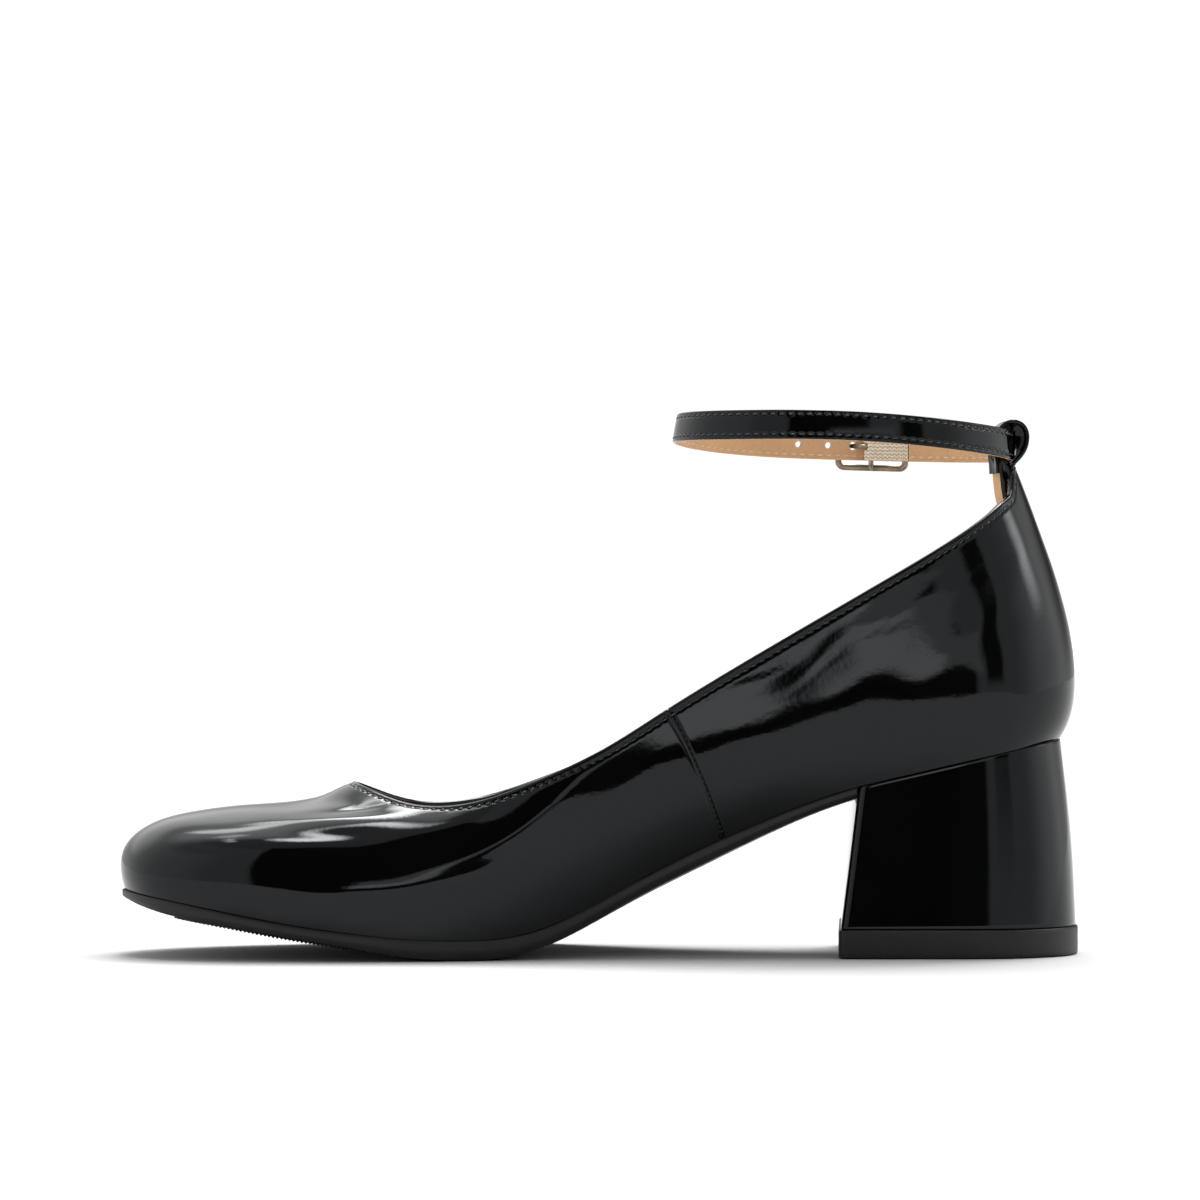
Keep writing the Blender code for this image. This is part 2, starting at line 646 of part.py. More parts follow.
def build_buckle(parts, cutters, material):
    half_long = 0.5 * FRAME_LENGTH
    half_high = 0.5 * FRAME_HEIGHT
    corner = 1.4
    flat = []
    for sx, sz, start in ((1, 1, 0), (-1, 1, 90), (-1, -1, 180), (1, -1, 270)):
        for step in range(4):
            a = math.radians(start + 30 * step)
            flat.append((sx * (half_long - corner) + corner * math.cos(a),
                         sz * (half_high - corner) + corner * math.sin(a)))
    points = [ring_point(np.array(a), np.array(FRAME_OUT), np.array(z)) for a, z in flat]
    frame = add_wire("buckle_frame", points, FRAME_WIRE, parts, material, cyclic=True, sides=3)
    bar_path = ((FRAME_OUT, -half_high), (2.3, -half_high + 0.1), (BAR_OUT, -half_high + 0.6),
                (BAR_OUT, half_high - 0.6), (2.3, half_high - 0.1), (FRAME_OUT, half_high))
    bar_points = [ring_point(np.array(0.0), np.array(out), np.array(z)) for out, z in bar_path]
    bar = hide_cutter(add_wire("buckle bar", bar_points, BAR_WIRE, cutters, None, sides=2))
    boolean(frame, bar, "UNION")
    return frame


def build_prong(group, material):
    radius = BAR_WIRE + FIT_GAP + PRONG_WIRE
    path = turn_points(radius, PRONG_TURN) + list(PRONG_REACH)
    points = [ring_point(np.array(a), np.array(out)) for a, out in path]
    return add_wire("buckle_prong", points, PRONG_WIRE, group, material, sides=2)


def build_loop(group, material):
    centre = np.array(LOOP)
    knots = np.concatenate([[0.0], np.cumsum(np.linalg.norm(np.diff(centre, axis=0), axis=1))])
    curve = Spline(knots, centre)
    fine = curve(np.linspace(0.0, knots[-1], 44))
    run = unit(np.gradient(fine, axis=0))
    side = np.stack([run[:, 1], -run[:, 0]], -1)
    middle = SECTIONS["heel back"][1]
    across = np.linspace(-0.5, 0.5, 6) * LOOP_WIDTH
    rings = []
    for point, way in zip(fine, side):
        ring = []
        for sign, row in ((0.5, across), (-0.5, across[::-1])):
            for y in row:
                x, z = point + way * sign * LOOP_THICK
                ring.append((x - y * y / (2 * LOOP_BEND), middle + y, z))
        rings.append(ring)
    return loft("heel_loop", rings, group, material)


def main():
    clear_scene()
    parts = new_collection("block heel shoe")
    cutters = new_collection("cutters")
    patent = make_material("black patent leather", (0.012, 0.012, 0.013), 0.12, coat=1.0)
    strap_patent = make_material("black patent strap", (0.014, 0.014, 0.015), 0.14, coat=1.0)
    loop_patent = make_material("black patent loop", (0.013, 0.013, 0.014), 0.14, coat=1.0)
    tan = make_material("tan sock leather", (0.55, 0.36, 0.20), 0.6)
    sole_rubber = make_material("black sole rubber", (0.022, 0.022, 0.023), 0.55)
    lift_rubber = make_material("black top lift rubber", (0.026, 0.026, 0.027), 0.6)
    heel_gloss = make_material("black gloss heel", (0.010, 0.010, 0.011), 0.1, coat=1.0)
    woven = make_material("ivory woven elastic", (0.78, 0.70, 0.56), 0.85)
    brass = make_material("pale brass frame", (0.62, 0.55, 0.40), 0.3, metallic=1.0)
    prong_brass = make_material("pale brass prong", (0.60, 0.53, 0.39), 0.32, metallic=1.0)
    build_outsole(parts, sole_rubber)
    build_upper(parts, patent)
    build_insole(parts, tan)
    build_heel(parts, heel_gloss)
    build_top_lift(parts, lift_rubber)
    build_strap(parts, cutters, strap_patent)
    build_loop(parts, loop_patent)
    build_elastic(parts, cutters, woven)
    build_buckle(parts, cutters, brass)
    build_prong(parts, prong_brass)
    bpy.context.view_layer.update()


if __name__ == "__main__":
    main()
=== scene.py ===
"""Block heel pump with an ankle strap, one right shoe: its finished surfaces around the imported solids.

Lengths in the tables are millimetres. The toe points to -X, the medial side to -Y, and the floor is z = 0.
"""
import math
from collections import namedtuple

import bpy
import numpy as np
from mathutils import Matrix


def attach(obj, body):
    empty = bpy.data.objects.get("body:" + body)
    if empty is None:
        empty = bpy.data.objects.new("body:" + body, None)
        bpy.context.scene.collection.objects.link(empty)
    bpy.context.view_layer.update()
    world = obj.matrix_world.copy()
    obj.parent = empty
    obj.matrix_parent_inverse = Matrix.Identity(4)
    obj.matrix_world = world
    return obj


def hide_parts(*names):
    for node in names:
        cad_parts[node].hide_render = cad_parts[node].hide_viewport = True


bl_info = {
    "name": "Block heel shoe",
    "version": (1, 0, 0),
    "blender": (4, 5, 0),
    "location": "View3D > Sidebar > Shoe",
    "description": "Finishes a patent block heel pump around its packed solids",
    "category": "Object",
}

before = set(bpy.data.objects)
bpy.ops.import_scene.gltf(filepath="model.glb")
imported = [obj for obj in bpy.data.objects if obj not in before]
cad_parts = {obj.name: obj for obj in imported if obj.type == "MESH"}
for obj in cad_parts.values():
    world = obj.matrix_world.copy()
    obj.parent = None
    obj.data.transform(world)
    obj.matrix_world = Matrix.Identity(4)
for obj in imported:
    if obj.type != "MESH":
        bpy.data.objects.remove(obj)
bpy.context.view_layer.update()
MM = 0.001


def table(columns, rows):
    """Rows with named columns; rows in a dictionary keep their own names."""
    row_of = namedtuple("Row", columns)
    if isinstance(rows, dict):
        return {name: row_of(*values) for name, values in rows.items()}
    return [row_of(*values) for values in rows]


# The lasted upper, one row for each section round the shoe from the toe along the medial side and back.
# It stands a little fuller than the solid over the ball and the arch, and the medial quarter's top leans
# in further
SECTION_COLUMNS = "feather_x feather_y wall_out wall_up crown_reach crown_out crown_up top_x top_y top_z"
SECTIONS = table(SECTION_COLUMNS, {
    "toe centre": (-118.2, -5.0, 6.4, 19.0, 0.24, 0.0, 16.6, -60.5, -3.5, 42.8),
    "medial toe corner": (-110.5, -25.0, 4.0, 17.0, 0.24, 0.0, 17.0, -57.6, -11.5, 41.7),
    "medial toe side": (-92.0, -33.8, 5.0, 15.0, 0.26, 2.5, 20.0, -52.6, -17.3, 39.8),
    "medial ball": (-66.0, -36.8, 3.6, 12.0, 0.30, 4.0, 24.0, -44.0, -23.2, 37.7),
    "medial behind ball": (-38.0, -34.6, 2.8, 12.0, 0.40, 6.2, 25.0, -31.0, -27.4, 38.7),
    "medial waist front": (-12.0, -27.6, 3.4, 13.0, 0.50, 5.4, 27.0, -15.0, -28.8, 44.3),
    "medial waist": (10.0, -22.0, 5.4, 13.0, 0.60, 3.6, 24.0, 1.0, -28.2, 51.8),
    "medial seam": (30.0, -20.6, 8.0, 13.0, 0.60, 2.6, 24.0, 15.7, -27.3, 60.9),
    "medial breast": (55.0, -22.9, 7.2, 14.0, 0.60, 1.3, 26.0, 42.0, -26.0, 76.8),
    "medial seat": (80.0, -24.6, 5.4, 14.0, 0.60, 1.8, 30.0, 70.0, -25.0, 93.1),
    "medial heel corner": (102.0, -21.2, 6.0, 14.0, 0.30, 1.0, 36.0, 92.0, -19.6, 106.6),
    "medial heel round": (111.3, -12.4, 7.6, 14.3, 0.18, 0.4, 40.0, 100.2, -12.4, 112.9),
    "heel back": (115.2, 0.8, 9.0, 14.5, 0.09, 0.0, 42.0, 104.5, 0.8, 116.8),
    "lateral heel round": (111.3, 14.0, 7.6, 14.3, 0.18, 0.4, 40.0, 100.2, 14.0, 111.9),
    "lateral heel corner": (102.0, 22.8, 6.0, 14.0, 0.30, 1.0, 36.0, 92.0, 21.2, 104.4),
    "lateral seat": (80.0, 26.1, 5.0, 14.0, 0.60, 2.0, 30.0, 70.0, 26.6, 91.0),
    "lateral breast": (55.0, 25.6, 5.0, 14.0, 0.60, 3.0, 26.0, 42.0, 29.4, 74.6),
    "lateral waist back": (30.0, 27.0, 4.0, 13.0, 0.60, 3.0, 24.0, 15.7, 29.8, 58.6),
    "lateral waist": (10.0, 30.2, 4.0, 13.0, 0.60, 3.0, 24.0, 1.0, 29.6, 49.8),
    "lateral waist front": (-12.0, 34.4, 3.0, 13.0, 0.50, 2.0, 26.0, -15.0, 28.2, 43.0),
    "lateral ball": (-38.0, 36.8, 2.0, 11.0, 0.40, 1.0, 25.0, -31.0, 25.0, 38.0),
    "lateral forefoot": (-66.0, 34.4, 2.0, 11.0, 0.30, 0.0, 23.0, -44.0, 18.6, 37.0),
    "lateral toe side": (-92.0, 26.6, 3.0, 14.0, 0.26, 0.0, 19.0, -52.6, 11.4, 39.2),
    "lateral toe corner": (-110.5, 14.0, 4.0, 16.0, 0.24, 0.0, 16.5, -57.6, 4.6, 41.4),
})

# The tab at the heel's back that carries the loop: half its foot and half its top, and how far it rises
# and leans
TAB_FOOT = 11.5
TAB_TOP = 3.5
TAB_RISE = 5.2
TAB_LEAN = -1.1

# Broad forms of the lasted vamp on its plain sections: mm on from a section, share up the wall, then half
# length, half share of the wall and height
VAMP_FORMS = table("section on share_up half_length half_share height", (
    ("toe centre", 2.0, 0.49, 40.0, 0.17, 0.85),
    ("toe centre", 4.0, 0.91, 26.0, 0.12, -1.7),
))

# Height of the feather line, where the upper meets the sole, along the shoe
FEATHER = table("x height", (
    (-120.0, 16.6), (-105.0, 14.3), (-90.0, 11.5), (-75.0, 8.8), (-60.0, 6.7), (-46.0, 5.3), (-34.0, 4.9),
    (-23.0, 5.4), (-12.0, 8.2), (0.0, 14.0), (12.0, 20.6), (30.0, 29.4), (45.0, 35.8), (60.0, 41.2),
    (75.0, 45.0), (95.0, 49.6), (116.0, 54.0),
))

# Thickness of the sole's edge under the feather line, how far its middle hangs lower, and its lower bevel
SOLE = table("x edge_thick belly bevel", (
    (-119.0, 1.7, 0.0, 0.5), (-116.0, 2.4, 0.1, 1.2), (-111.0, 3.3, 0.2, 2.0), (-103.0, 3.9, 0.4, 2.2),
    (-92.0, 3.5, 0.9, 2.2), (-75.0, 3.2, 1.2, 2.0), (-60.0, 3.6, 1.0, 1.8), (-46.0, 4.5, 0.6, 1.6),
    (-34.0, 4.7, 0.4, 1.5), (-22.0, 4.7, 0.4, 1.6), (-10.0, 4.3, 0.6, 2.0), (5.0, 4.1, 0.8, 2.6),
    (20.0, 4.4, 0.8, 3.0), (37.0, 3.9, 0.7, 3.0), (51.0, 3.2, 0.6, 2.8), (64.0, 2.8, 0.5, 2.6),
))

# Back line of the heel block from the seat down
HEEL_BACK = table("share_down x", ((0.0, 114.9), (0.25, 116.3), (0.55, 117.7), (0.8, 118.4), (1.0, 118.8)))
# Breast and sides of the heel at its seat and at its foot, and how far on the foot's breast is turned
HEEL_SIDES = table("seat foot", {"breast": (63.5, 60.2), "medial": (-24.2, -26.2), "lateral": (25.7, 27.4)})
BREAST_TWIST = 0.05
HEEL_SIDE_END = 86.0
HEEL_CORNER = 2.2
HEEL_ROUND_POWER = 2.35

# The ankle strap's ring, from the middle of the lateral side round the back
RING = table("x y z lean_deg", {
    "lateral middle": (60.0, 31.0, 127.5, 3.0),
    "lateral back": (88.0, 23.5, 126.7, 0.0),
    "back": (102.9, 0.8, 126.4, 0.0),
    "medial back": (88.0, -22.5, 128.4, 5.0),
    "medial middle": (60.0, -30.0, 130.6, 9.0),
    "medial front": (31.0, -22.0, 131.0, 9.0),
    "front": (19.4, 0.5, 130.8, 10.0),
    "lateral front": (31.0, 23.0, 129.0, 7.0),
})
BAR_X = 69.2

# How far the long end of the strap stands out from the ring as it weaves through the buckle
WEAVE = table("along out", (
    (-34.0, 0.0), (-26.0, 0.0), (-16.0, 0.5), (-8.1, 1.5), (-4.7, 2.85), (0.0, 4.45),
    (4.7, 2.95), (8.1, 1.62), (12.0, 1.95), (24.0, 1.95), (44.0, 1.95),
))

# Paths of the elastic and of the prong in the ring's own directions; where they turn round the bar, the
# first and last angle and the count of points
ELASTIC_WRAP = table("along out", ((9.9, 0.0), (6.5, 0.0), (3.4, 0.1), (1.4, 0.2)))
ELASTIC_TURN = (-90.0, -260.0, 9)
ELASTIC_LIP = table("along out", ((1.7, 2.6), (3.4, 1.75)))
PRONG_TURN = (40.0, -95.0, 9)
PRONG_REACH = table("along out", (
    (-1.7, 0.3), (-3.3, 1.2), (-4.7, 2.85), (-6.1, 4.4), (-8.1, 5.0), (-9.3, 5.15),
))

# The heel loop and the lined pad inside it, as their faces in the middle plane with the thickness of the
# leather, the depth of filling behind it, half the width and how far the edges bow forwards
LOOP_COLUMNS = "x z leather filling half_width bow"
LOOP = table(LOOP_COLUMNS, (
    (104.9, 113.5, 0.8, 0.0, 6.2, 1.4),
    (104.1, 116.5, 0.8, 0.0, 5.8, 1.2),
    (103.5, 119.4, 0.9, 0.0, 5.4, 1.0),
    (103.6, 121.2, 1.0, 0.0, 5.2, 0.7),
    (104.9, 123.0, 1.0, 0.6, 5.4, 0.4),
    (106.4, 125.2, 1.0, 2.1, 5.6, 0.3),
    (107.1, 127.6, 1.0, 2.6, 5.6, 0.3),
    (107.0, 129.9, 1.0, 2.6, 5.6, 0.3),
    (105.9, 131.9, 1.0, 2.4, 5.6, 0.3),
    (104.2, 132.9, 1.0, 2.0, 5.5, 0.4),
    (102.4, 132.9, 1.0, 1.8, 5.3, 0.6),
    (100.7, 132.0, 1.0, 1.4, 5.1, 0.8),
    (99.5, 130.2, 1.0, 1.0, 5.0, 1.0),
    (99.1, 127.4, 1.0, 0.9, 5.0, 1.1),
    (99.0, 124.2, 1.0, 0.3, 5.0, 1.2),
    (99.2, 121.6, 1.0, 0.0, 5.0, 1.2),
    (99.3, 119.6, 0.9, 0.0, 4.9, 1.2),
))
LOOP_PAD = table(LOOP_COLUMNS, (
    (100.5, 123.6, 1.0, 0.0, 6.0, 1.5),
    (100.4, 121.5, 2.4, 0.0, 6.1, 1.5),
    (100.5, 119.0, 2.9, 0.0, 6.2, 1.5),
    (100.8, 116.0, 3.0, 0.0, 6.2, 1.5),
    (101.6, 112.0, 2.4, 0.0, 6.2, 1.5),
    (103.0, 108.6, 1.2, 0.0, 6.0, 1.3),
))
LOOP_MIDDLE = 0.8
LOOP_BOW_MIDDLE = -1.0

# The strap from the buckle's bar on, the buckle and the gaps between the pieces
STRAP_START = 10.2
STRAP_TAIL = 29.0
STRAP_TIP = 3.6
FRAME_LENGTH = 16.3
FRAME_HEIGHT = 11.0
FRAME_CORNER = 1.4
FRAME_OUT = 3.4
BAR_OUT = 1.6
FIT_GAP = 0.3
SEAT_GAP = 0.05
HOLES_ALONG = (-18.6, -10.9)
PRONG_HOLE_ALONG = -4.7

# Soft creases of the patent: mm on from a section, share up the wall, slant from the
# topline's direction, then half length, half width and height, which is below zero for a trough
CREASES = table("section on share_up slant_deg half_length half_width height", (
    ("medial ball", 0.0, 0.55, 12.0, 16.0, 5.0, -0.22),
    ("medial ball", 14.0, 0.36, 14.0, 22.0, 3.0, 0.32),
    ("medial ball", -5.0, 0.80, 24.0, 8.0, 3.2, 0.30),
    ("medial ball", 3.0, 0.70, 20.0, 10.0, 3.0, -0.24),
    ("medial ball", 11.0, 0.76, 16.0, 10.0, 3.0, 0.24),
    ("medial behind ball", -6.0, 0.66, 30.0, 9.0, 3.0, -0.20),
    ("medial behind ball", 14.0, 0.42, 4.0, 16.0, 5.0, 0.14),
    ("medial behind ball", 13.0, 0.68, 22.0, 24.0, 6.0, 0.70),
    ("medial behind ball", 12.0, 0.67, 20.0, 24.0, 2.2, 0.25),
    ("medial waist", 0.0, 0.50, 3.0, 16.0, 6.0, 0.14),
    ("medial seam", 9.0, 0.86, 6.0, 10.0, 3.0, -0.06),
    ("medial breast", -6.0, 0.88, 4.0, 18.0, 3.0, 0.06),
    ("medial seat", -4.0, 0.82, 2.0, 17.0, 3.0, 0.06),
    ("medial heel corner", -4.0, 0.62, 30.0, 12.0, 4.0, 0.12),
    ("medial toe side", 2.0, 0.90, 30.0, 7.0, 2.4, -0.30),
    ("medial toe side", 5.0, 0.78, 24.0, 9.0, 2.6, 0.34),
    ("medial toe side", 9.0, 0.66, 18.0, 9.0, 2.6, -0.24),
    ("lateral ball", 2.0, 0.60, -14.0, 16.0, 5.0, -0.22),
    ("lateral ball", -10.0, 0.50, -8.0, 15.0, 4.0, 0.14),
    ("lateral forefoot", 2.0, 0.66, -10.0, 14.0, 5.0, -0.18),
    ("lateral waist", 0.0, 0.62, 4.0, 17.0, 5.0, 0.14),
    ("lateral breast", 0.0, 0.82, -4.0, 18.0, 3.4, -0.16),
    ("lateral seat", 2.0, 0.84, 3.0, 17.0, 3.0, 0.14),
))

# Long slow waves left by lasting, as wave lengths along x, y and z, a phase and a height
WAVES = table("x_length y_length z_length phase_deg height", (
    (41.0, 160.0, -90.0, 20.0, 0.08),
    (-29.0, 90.0, 47.0, 75.0, 0.045),
    (23.0, -60.0, 31.0, 160.0, 0.025),
    (17.0, 45.0, -19.0, 250.0, 0.014),
))

# Fine drag lines along the quarter, as their spacing below the topline, the length of their drift, a
# phase and a height
DRAG_LINES = table("drop_length run_length phase_deg height", (
    (7.3, 46.0, 30.0, 0.014),
    (4.6, 31.0, 140.0, 0.009),
    (2.9, 22.0, 260.0, 0.005),
))


def length(name, description, millimetres):
    return bpy.props.FloatProperty(name=name, description=description, default=millimetres * MM, min=0.0,
                                   precision=5, unit="LENGTH")


def colour(name, description, red, green, blue):
    return bpy.props.FloatVectorProperty(name=name, description=description, default=(red, green, blue),
                                         min=0.0, max=1.0, size=3, subtype="COLOR")


def brightness(name, description, default):
    return bpy.props.FloatProperty(name=name, description=description, default=default, min=0.0)


class ShoeSizes(bpy.types.PropertyGroup):
    """Sizes of the pieces that a maker would change."""
    wall: length("Wall", "Thickness of the upper with its lining", 1.6)
    seam_step: length("Seam step", "Height of the quarter's edge over the vamp", 0.18)
    topline_row: length("Topline row", "Stitch row below the topline", 1.9)
    seam_row: length("Seam row", "Stitch row behind the side seam, at its top", 1.1)
    seam_pitch: length("Seam pitch", "From one seam stitch to the next", 1.6)
    stitch_pitch: length("Stitch pitch", "From one stitch to the next", 2.3)
    thread: length("Thread", "Thickness of the sewing thread", 0.46)
    sock: length("Sock", "Thickness of the insole with its sock", 2.4)
    sole_proud: length("Sole proud", "How far the sole's edge stands out from the feather line", 0.7)
    rib_pitch: length("Rib pitch", "From one tread rib to the next", 1.0)
    rib_depth: length("Rib depth", "Depth of the grooves between tread ribs", 0.3)
    heel_edge: length("Heel edge", "Rounding of the heel's top and bottom edges", 0.5)
    lift: length("Top lift", "Thickness of the heel's rubber top lift", 7.0)
    lift_proud: length("Lift proud", "How far the top lift stands out from the heel", 0.5)
    strap_width: length("Strap width", "Width of the ankle strap", 7.3)
    strap: length("Strap", "Thickness of the ankle strap with its lining", 1.6)
    strap_row: length("Strap row", "Stitch rows in from the strap's edges", 1.15)
    strap_hole: length("Strap hole", "Radius of the strap's free holes", 0.8)
    prong_hole: length("Prong hole", "Radius of the hole that the prong fills", 1.15)
    elastic_width: length("Elastic width", "Width of the elastic", 7.1)
    elastic: length("Elastic", "Thickness of the elastic", 0.8)
    frame_wire: length("Frame wire", "Radius of the buckle's frame", 0.8)
    bar_wire: length("Bar wire", "Radius of the buckle's bar", 0.65)
    prong_wire: length("Prong wire", "Radius of the buckle's prong", 0.6)


class ShoeColours(bpy.types.PropertyGroup):
    """Colours of the shoe's materials."""
    patent: colour("Patent", "Black patent leather", 0.0008, 0.0008, 0.0009)
    lining: colour("Lining", "Tan lining leather", 0.65, 0.41, 0.225)
    sock: colour("Sock", "Tan sock leather", 0.41, 0.27, 0.15)
    sole: colour("Sole", "Black sole rubber", 0.010, 0.010, 0.010)
    lift: colour("Top lift", "Black top lift rubber", 0.010, 0.010, 0.010)
    heel: colour("Heel", "Black gloss heel cover", 0.0007, 0.0007, 0.0008)
    elastic: colour("Elastic", "Ivory elastic yarn", 0.92, 0.82, 0.66)
    brass: colour("Brass", "Pale antique brass", 0.273, 0.234, 0.169)
    black_thread: colour("Black thread", "Thread of the outer seams", 0.029, 0.030, 0.031)
    tan_thread: colour("Tan thread", "Thread that shows on the lining", 0.70, 0.58, 0.42)


class StudioLight(bpy.types.PropertyGroup):
    """Brightness of the plain studio round the shoe."""
    floor: colour("Floor", "Pale floor", 0.455, 0.455, 0.455)
    walls: brightness("Walls", "Pale walls round the shoe", 0.5)
    level: brightness("Level", "Brightness of the whole studio", 1.54)


def sizes():
    """The sizes of the pieces in millimetres, by name."""
    held = bpy.context.scene.shoe_sizes
    return {name: getattr(held, name) / MM for name in ShoeSizes.__annotations__}


def colours(name):
    return (*getattr(bpy.context.scene.shoe_colours, name), 1.0)


class Spline:
    """A cubic through rows of numbers with an even second derivative, closed or with free ends."""

    def __init__(self, knots, rows, period=None):
        self.knots = np.asarray(knots, float)
        self.rows = np.asarray(rows, float).reshape(len(self.knots), -1)
        self.period = period
        count = len(self.knots)
        matrix = np.zeros((count, count))
        right = np.zeros_like(self.rows)
        if period is None:
            span = np.diff(self.knots)
            rate = np.diff(self.rows, axis=0) / span[:, None]
            matrix[0, :2] = 2, 1
            matrix[-1, -2:] = 1, 2
            right[0] = 3 * rate[0]
            right[-1] = 3 * rate[-1]
            inner = range(1, count - 1)
        else:
            span = np.append(np.diff(self.knots), period - self.knots[-1] + self.knots[0])
            rate = (np.roll(self.rows, -1, 0) - self.rows) / span[:, None]
            inner = range(count)
        for i in inner:
            before = span[i - 1]
            after = span[i]
            matrix[i, i - 1] += after
            matrix[i, i] += 2 * (before + after)
            matrix[i, (i + 1) % count] += before
            right[i] = 3 * (after * rate[i - 1] + before * rate[i])
        self.span = span
        self.tangent = np.linalg.solve(matrix, right)

    def __call__(self, where):
        where = np.asarray(where, float)
        if self.period is not None:
            where = self.knots[0] + np.mod(where - self.knots[0], self.period)
        i = np.clip(np.searchsorted(self.knots, where, side="right") - 1, 0, len(self.span) - 1)
        j = (i + 1) % len(self.knots)
        h = self.span[i][..., None]
        u = (where - self.knots[i])[..., None] / h
        start = (1 + 2 * u) * (1 - u) ** 2 * self.rows[i] + u * (1 - u) ** 2 * h * self.tangent[i]
        return start + u * u * (3 - 2 * u) * self.rows[j] + u * u * (u - 1) * h * self.tangent[j]

    def slope(self, where):
        small = 1e-5 * float(np.mean(self.span))
        return (self(np.asarray(where) + small) - self(np.asarray(where) - small)) / (2 * small)


def unit(vectors):
    return vectors / np.linalg.norm(vectors, axis=-1, keepdims=True)


def chords(points):
    return np.linalg.norm(np.roll(points, -1, 0) - points, axis=1)


def run_along(points):
    """Length along a line of points up to each of them."""
    return np.concatenate([[0.0], np.cumsum(np.linalg.norm(np.diff(points, axis=0), axis=1))])


def on_line(where, run, line):
    """Points or directions of a line at lengths along it."""
    return np.stack([np.interp(where, run, line[:, axis]) for axis in range(3)], -1)


def closed_spline(rows, lengths):
    knots = np.concatenate([[0.0], np.cumsum(lengths)[:-1]]) / np.sum(lengths)
    return Spline(knots, rows, period=1.0), knots


def open_spline(points):
    """A curve through points by the lengths between them, and its whole length."""
    knots = run_along(points)
    return Spline(knots, points), knots[-1]


def table_spline(rows):
    return Spline([row[0] for row in rows], [row[1:] for row in rows])


def ease(value):
    """From 0 to 1 with soft ends."""
    value = np.clip(value, 0.0, 1.0)
    return value * value * (3 - 2 * value)


def bell(apart, half_width):
    """1 in the middle, falling off softly to both sides."""
    return np.exp(-(apart / half_width) ** 2)


def squared(value, power):
    """A sine or cosine raised to a power with its sign kept, which squares a circle's corners."""
    return np.sign(value) * np.abs(value) ** power


SECTION_ROWS = np.array(list(SECTIONS.values()))
SECTION_CHORDS = 0.5 * (chords(SECTION_ROWS[:, :2]) + chords(SECTION_ROWS[:, 7:]))
ROUND, SECTION_KNOTS = closed_spline(SECTION_ROWS, SECTION_CHORDS)
SECTION_AT = dict(zip(SECTIONS, SECTION_KNOTS))
ROUND_LENGTH = float(np.sum(SECTION_CHORDS))
SEAM = SECTION_AT["medial seam"]
FEATHER_LINE = table_spline(FEATHER)
SOLE_LINE = table_spline(SOLE)
HEEL_BACK_LINE = table_spline(HEEL_BACK)
WEAVE_LINE = table_spline(WEAVE)
RING_ROWS = np.array(list(RING.values()))
STRAP_RING = closed_spline(RING_ROWS, chords(RING_ROWS[:, :3]))[0]
RING_SCAN = np.linspace(0.0, 1.0, 4001)
RING_RUN = run_along(STRAP_RING(RING_SCAN)[:, :3])
RING_LENGTH = float(RING_RUN[-1])
BUCKLE_SIDE = RING_SCAN < 0.15
BAR_RUN = float(np.interp(BAR_X, STRAP_RING(RING_SCAN[BUCKLE_SIDE])[:, 0], RING_RUN[BUCKLE_SIDE]))
UP = np.array((0.0, 0.0, 1.0))
FORM_FADE = 0.08
WALL_BEHIND = 0.3


def feather_height(x):
    return FEATHER_LINE(np.asarray(x, float))[..., 0]


def feather(around, inset=0.0):
    """Point of the feather line, moved in by inset, and the way inwards."""
    around = np.asarray(around, float)
    place = ROUND(around)[..., :2]
    run = ROUND.slope(around)[..., :2]
    inward = unit(np.stack([-run[..., 1], run[..., 0]], -1))
    height = FEATHER_LINE(place[..., 0])
    return np.concatenate([place + inward * inset, height], -1), inward


def mm_on(around, centre):
    """How far on from a centre a place round the upper lies, in mm, below zero before it."""
    return ((np.asarray(around) - centre + 0.5) % 1.0 - 0.5) * ROUND_LENGTH


def vamp_form(around, up):
    """Fullness over the toes and the dip before the throat, which the topline itself does not take."""
    height = np.zeros(np.shape(up))
    for row in VAMP_FORMS:
        apart = mm_on(around, SECTION_AT[row.section]) - row.on
        height += row.height * bell(apart, row.half_length) * bell(up - row.share_up, row.half_share)
    return height * ease((1.0 - up) / FORM_FADE)


def last_surface(around, up):
    """Outside of the upper: around the shoe from 0 to 1, up the wall from the feather 0 to the topline 1."""
    around, up = np.broadcast_arrays(np.asarray(around, float), np.asarray(up, float))
    foot, inward = feather(around)
    columns = np.split(ROUND(around), (2, 3, 4, 5, 6, 7), axis=-1)
    wall_out, wall_up, reach, crown_out, crown_up, top = columns[1:]
    apart = np.abs(mm_on(around, SECTION_AT["heel back"]))
    tab = ease((TAB_FOOT - apart) / (TAB_FOOT - TAB_TOP))[..., None]
    top = top + tab * (TAB_LEAN, 0.0, TAB_RISE)

    def handle(share, out, rise):
        level = (top - foot)[..., :2] * share - inward * out
        return foot + np.concatenate([level, rise], -1)

    wall = handle(np.maximum(reach - WALL_BEHIND, 0.0), wall_out, wall_up)
    crown = handle(reach, crown_out, crown_up)
    w = up[..., None]
    place = (1 - w) ** 3 * foot + 3 * w * (1 - w) ** 2 * wall + 3 * w * w * (1 - w) * crown + w ** 3 * top
    place[..., 2] += vamp_form(around, up)
    return place


def last_frame(around, up):
    """Directions on the upper: along it, up its wall and out of it."""
    small = 1e-4
    low = np.clip(np.asarray(up, float) - small, 0, 1)
    high = np.clip(np.asarray(up, float) + small, 0, 1)
    along = last_surface(around + small, up) - last_surface(around - small, up)
    rise = last_surface(around, high) - last_surface(around, low)
    return unit(along), unit(rise), unit(np.cross(along, rise))


def wall_length(around):
    """Length of the wall from the feather to the topline."""
    up = np.linspace(0.0, 1.0, 21)
    line = last_surface(np.asarray(around, float)[..., None], up)
    return np.linalg.norm(np.diff(line, axis=-2), axis=-1).sum(-1)


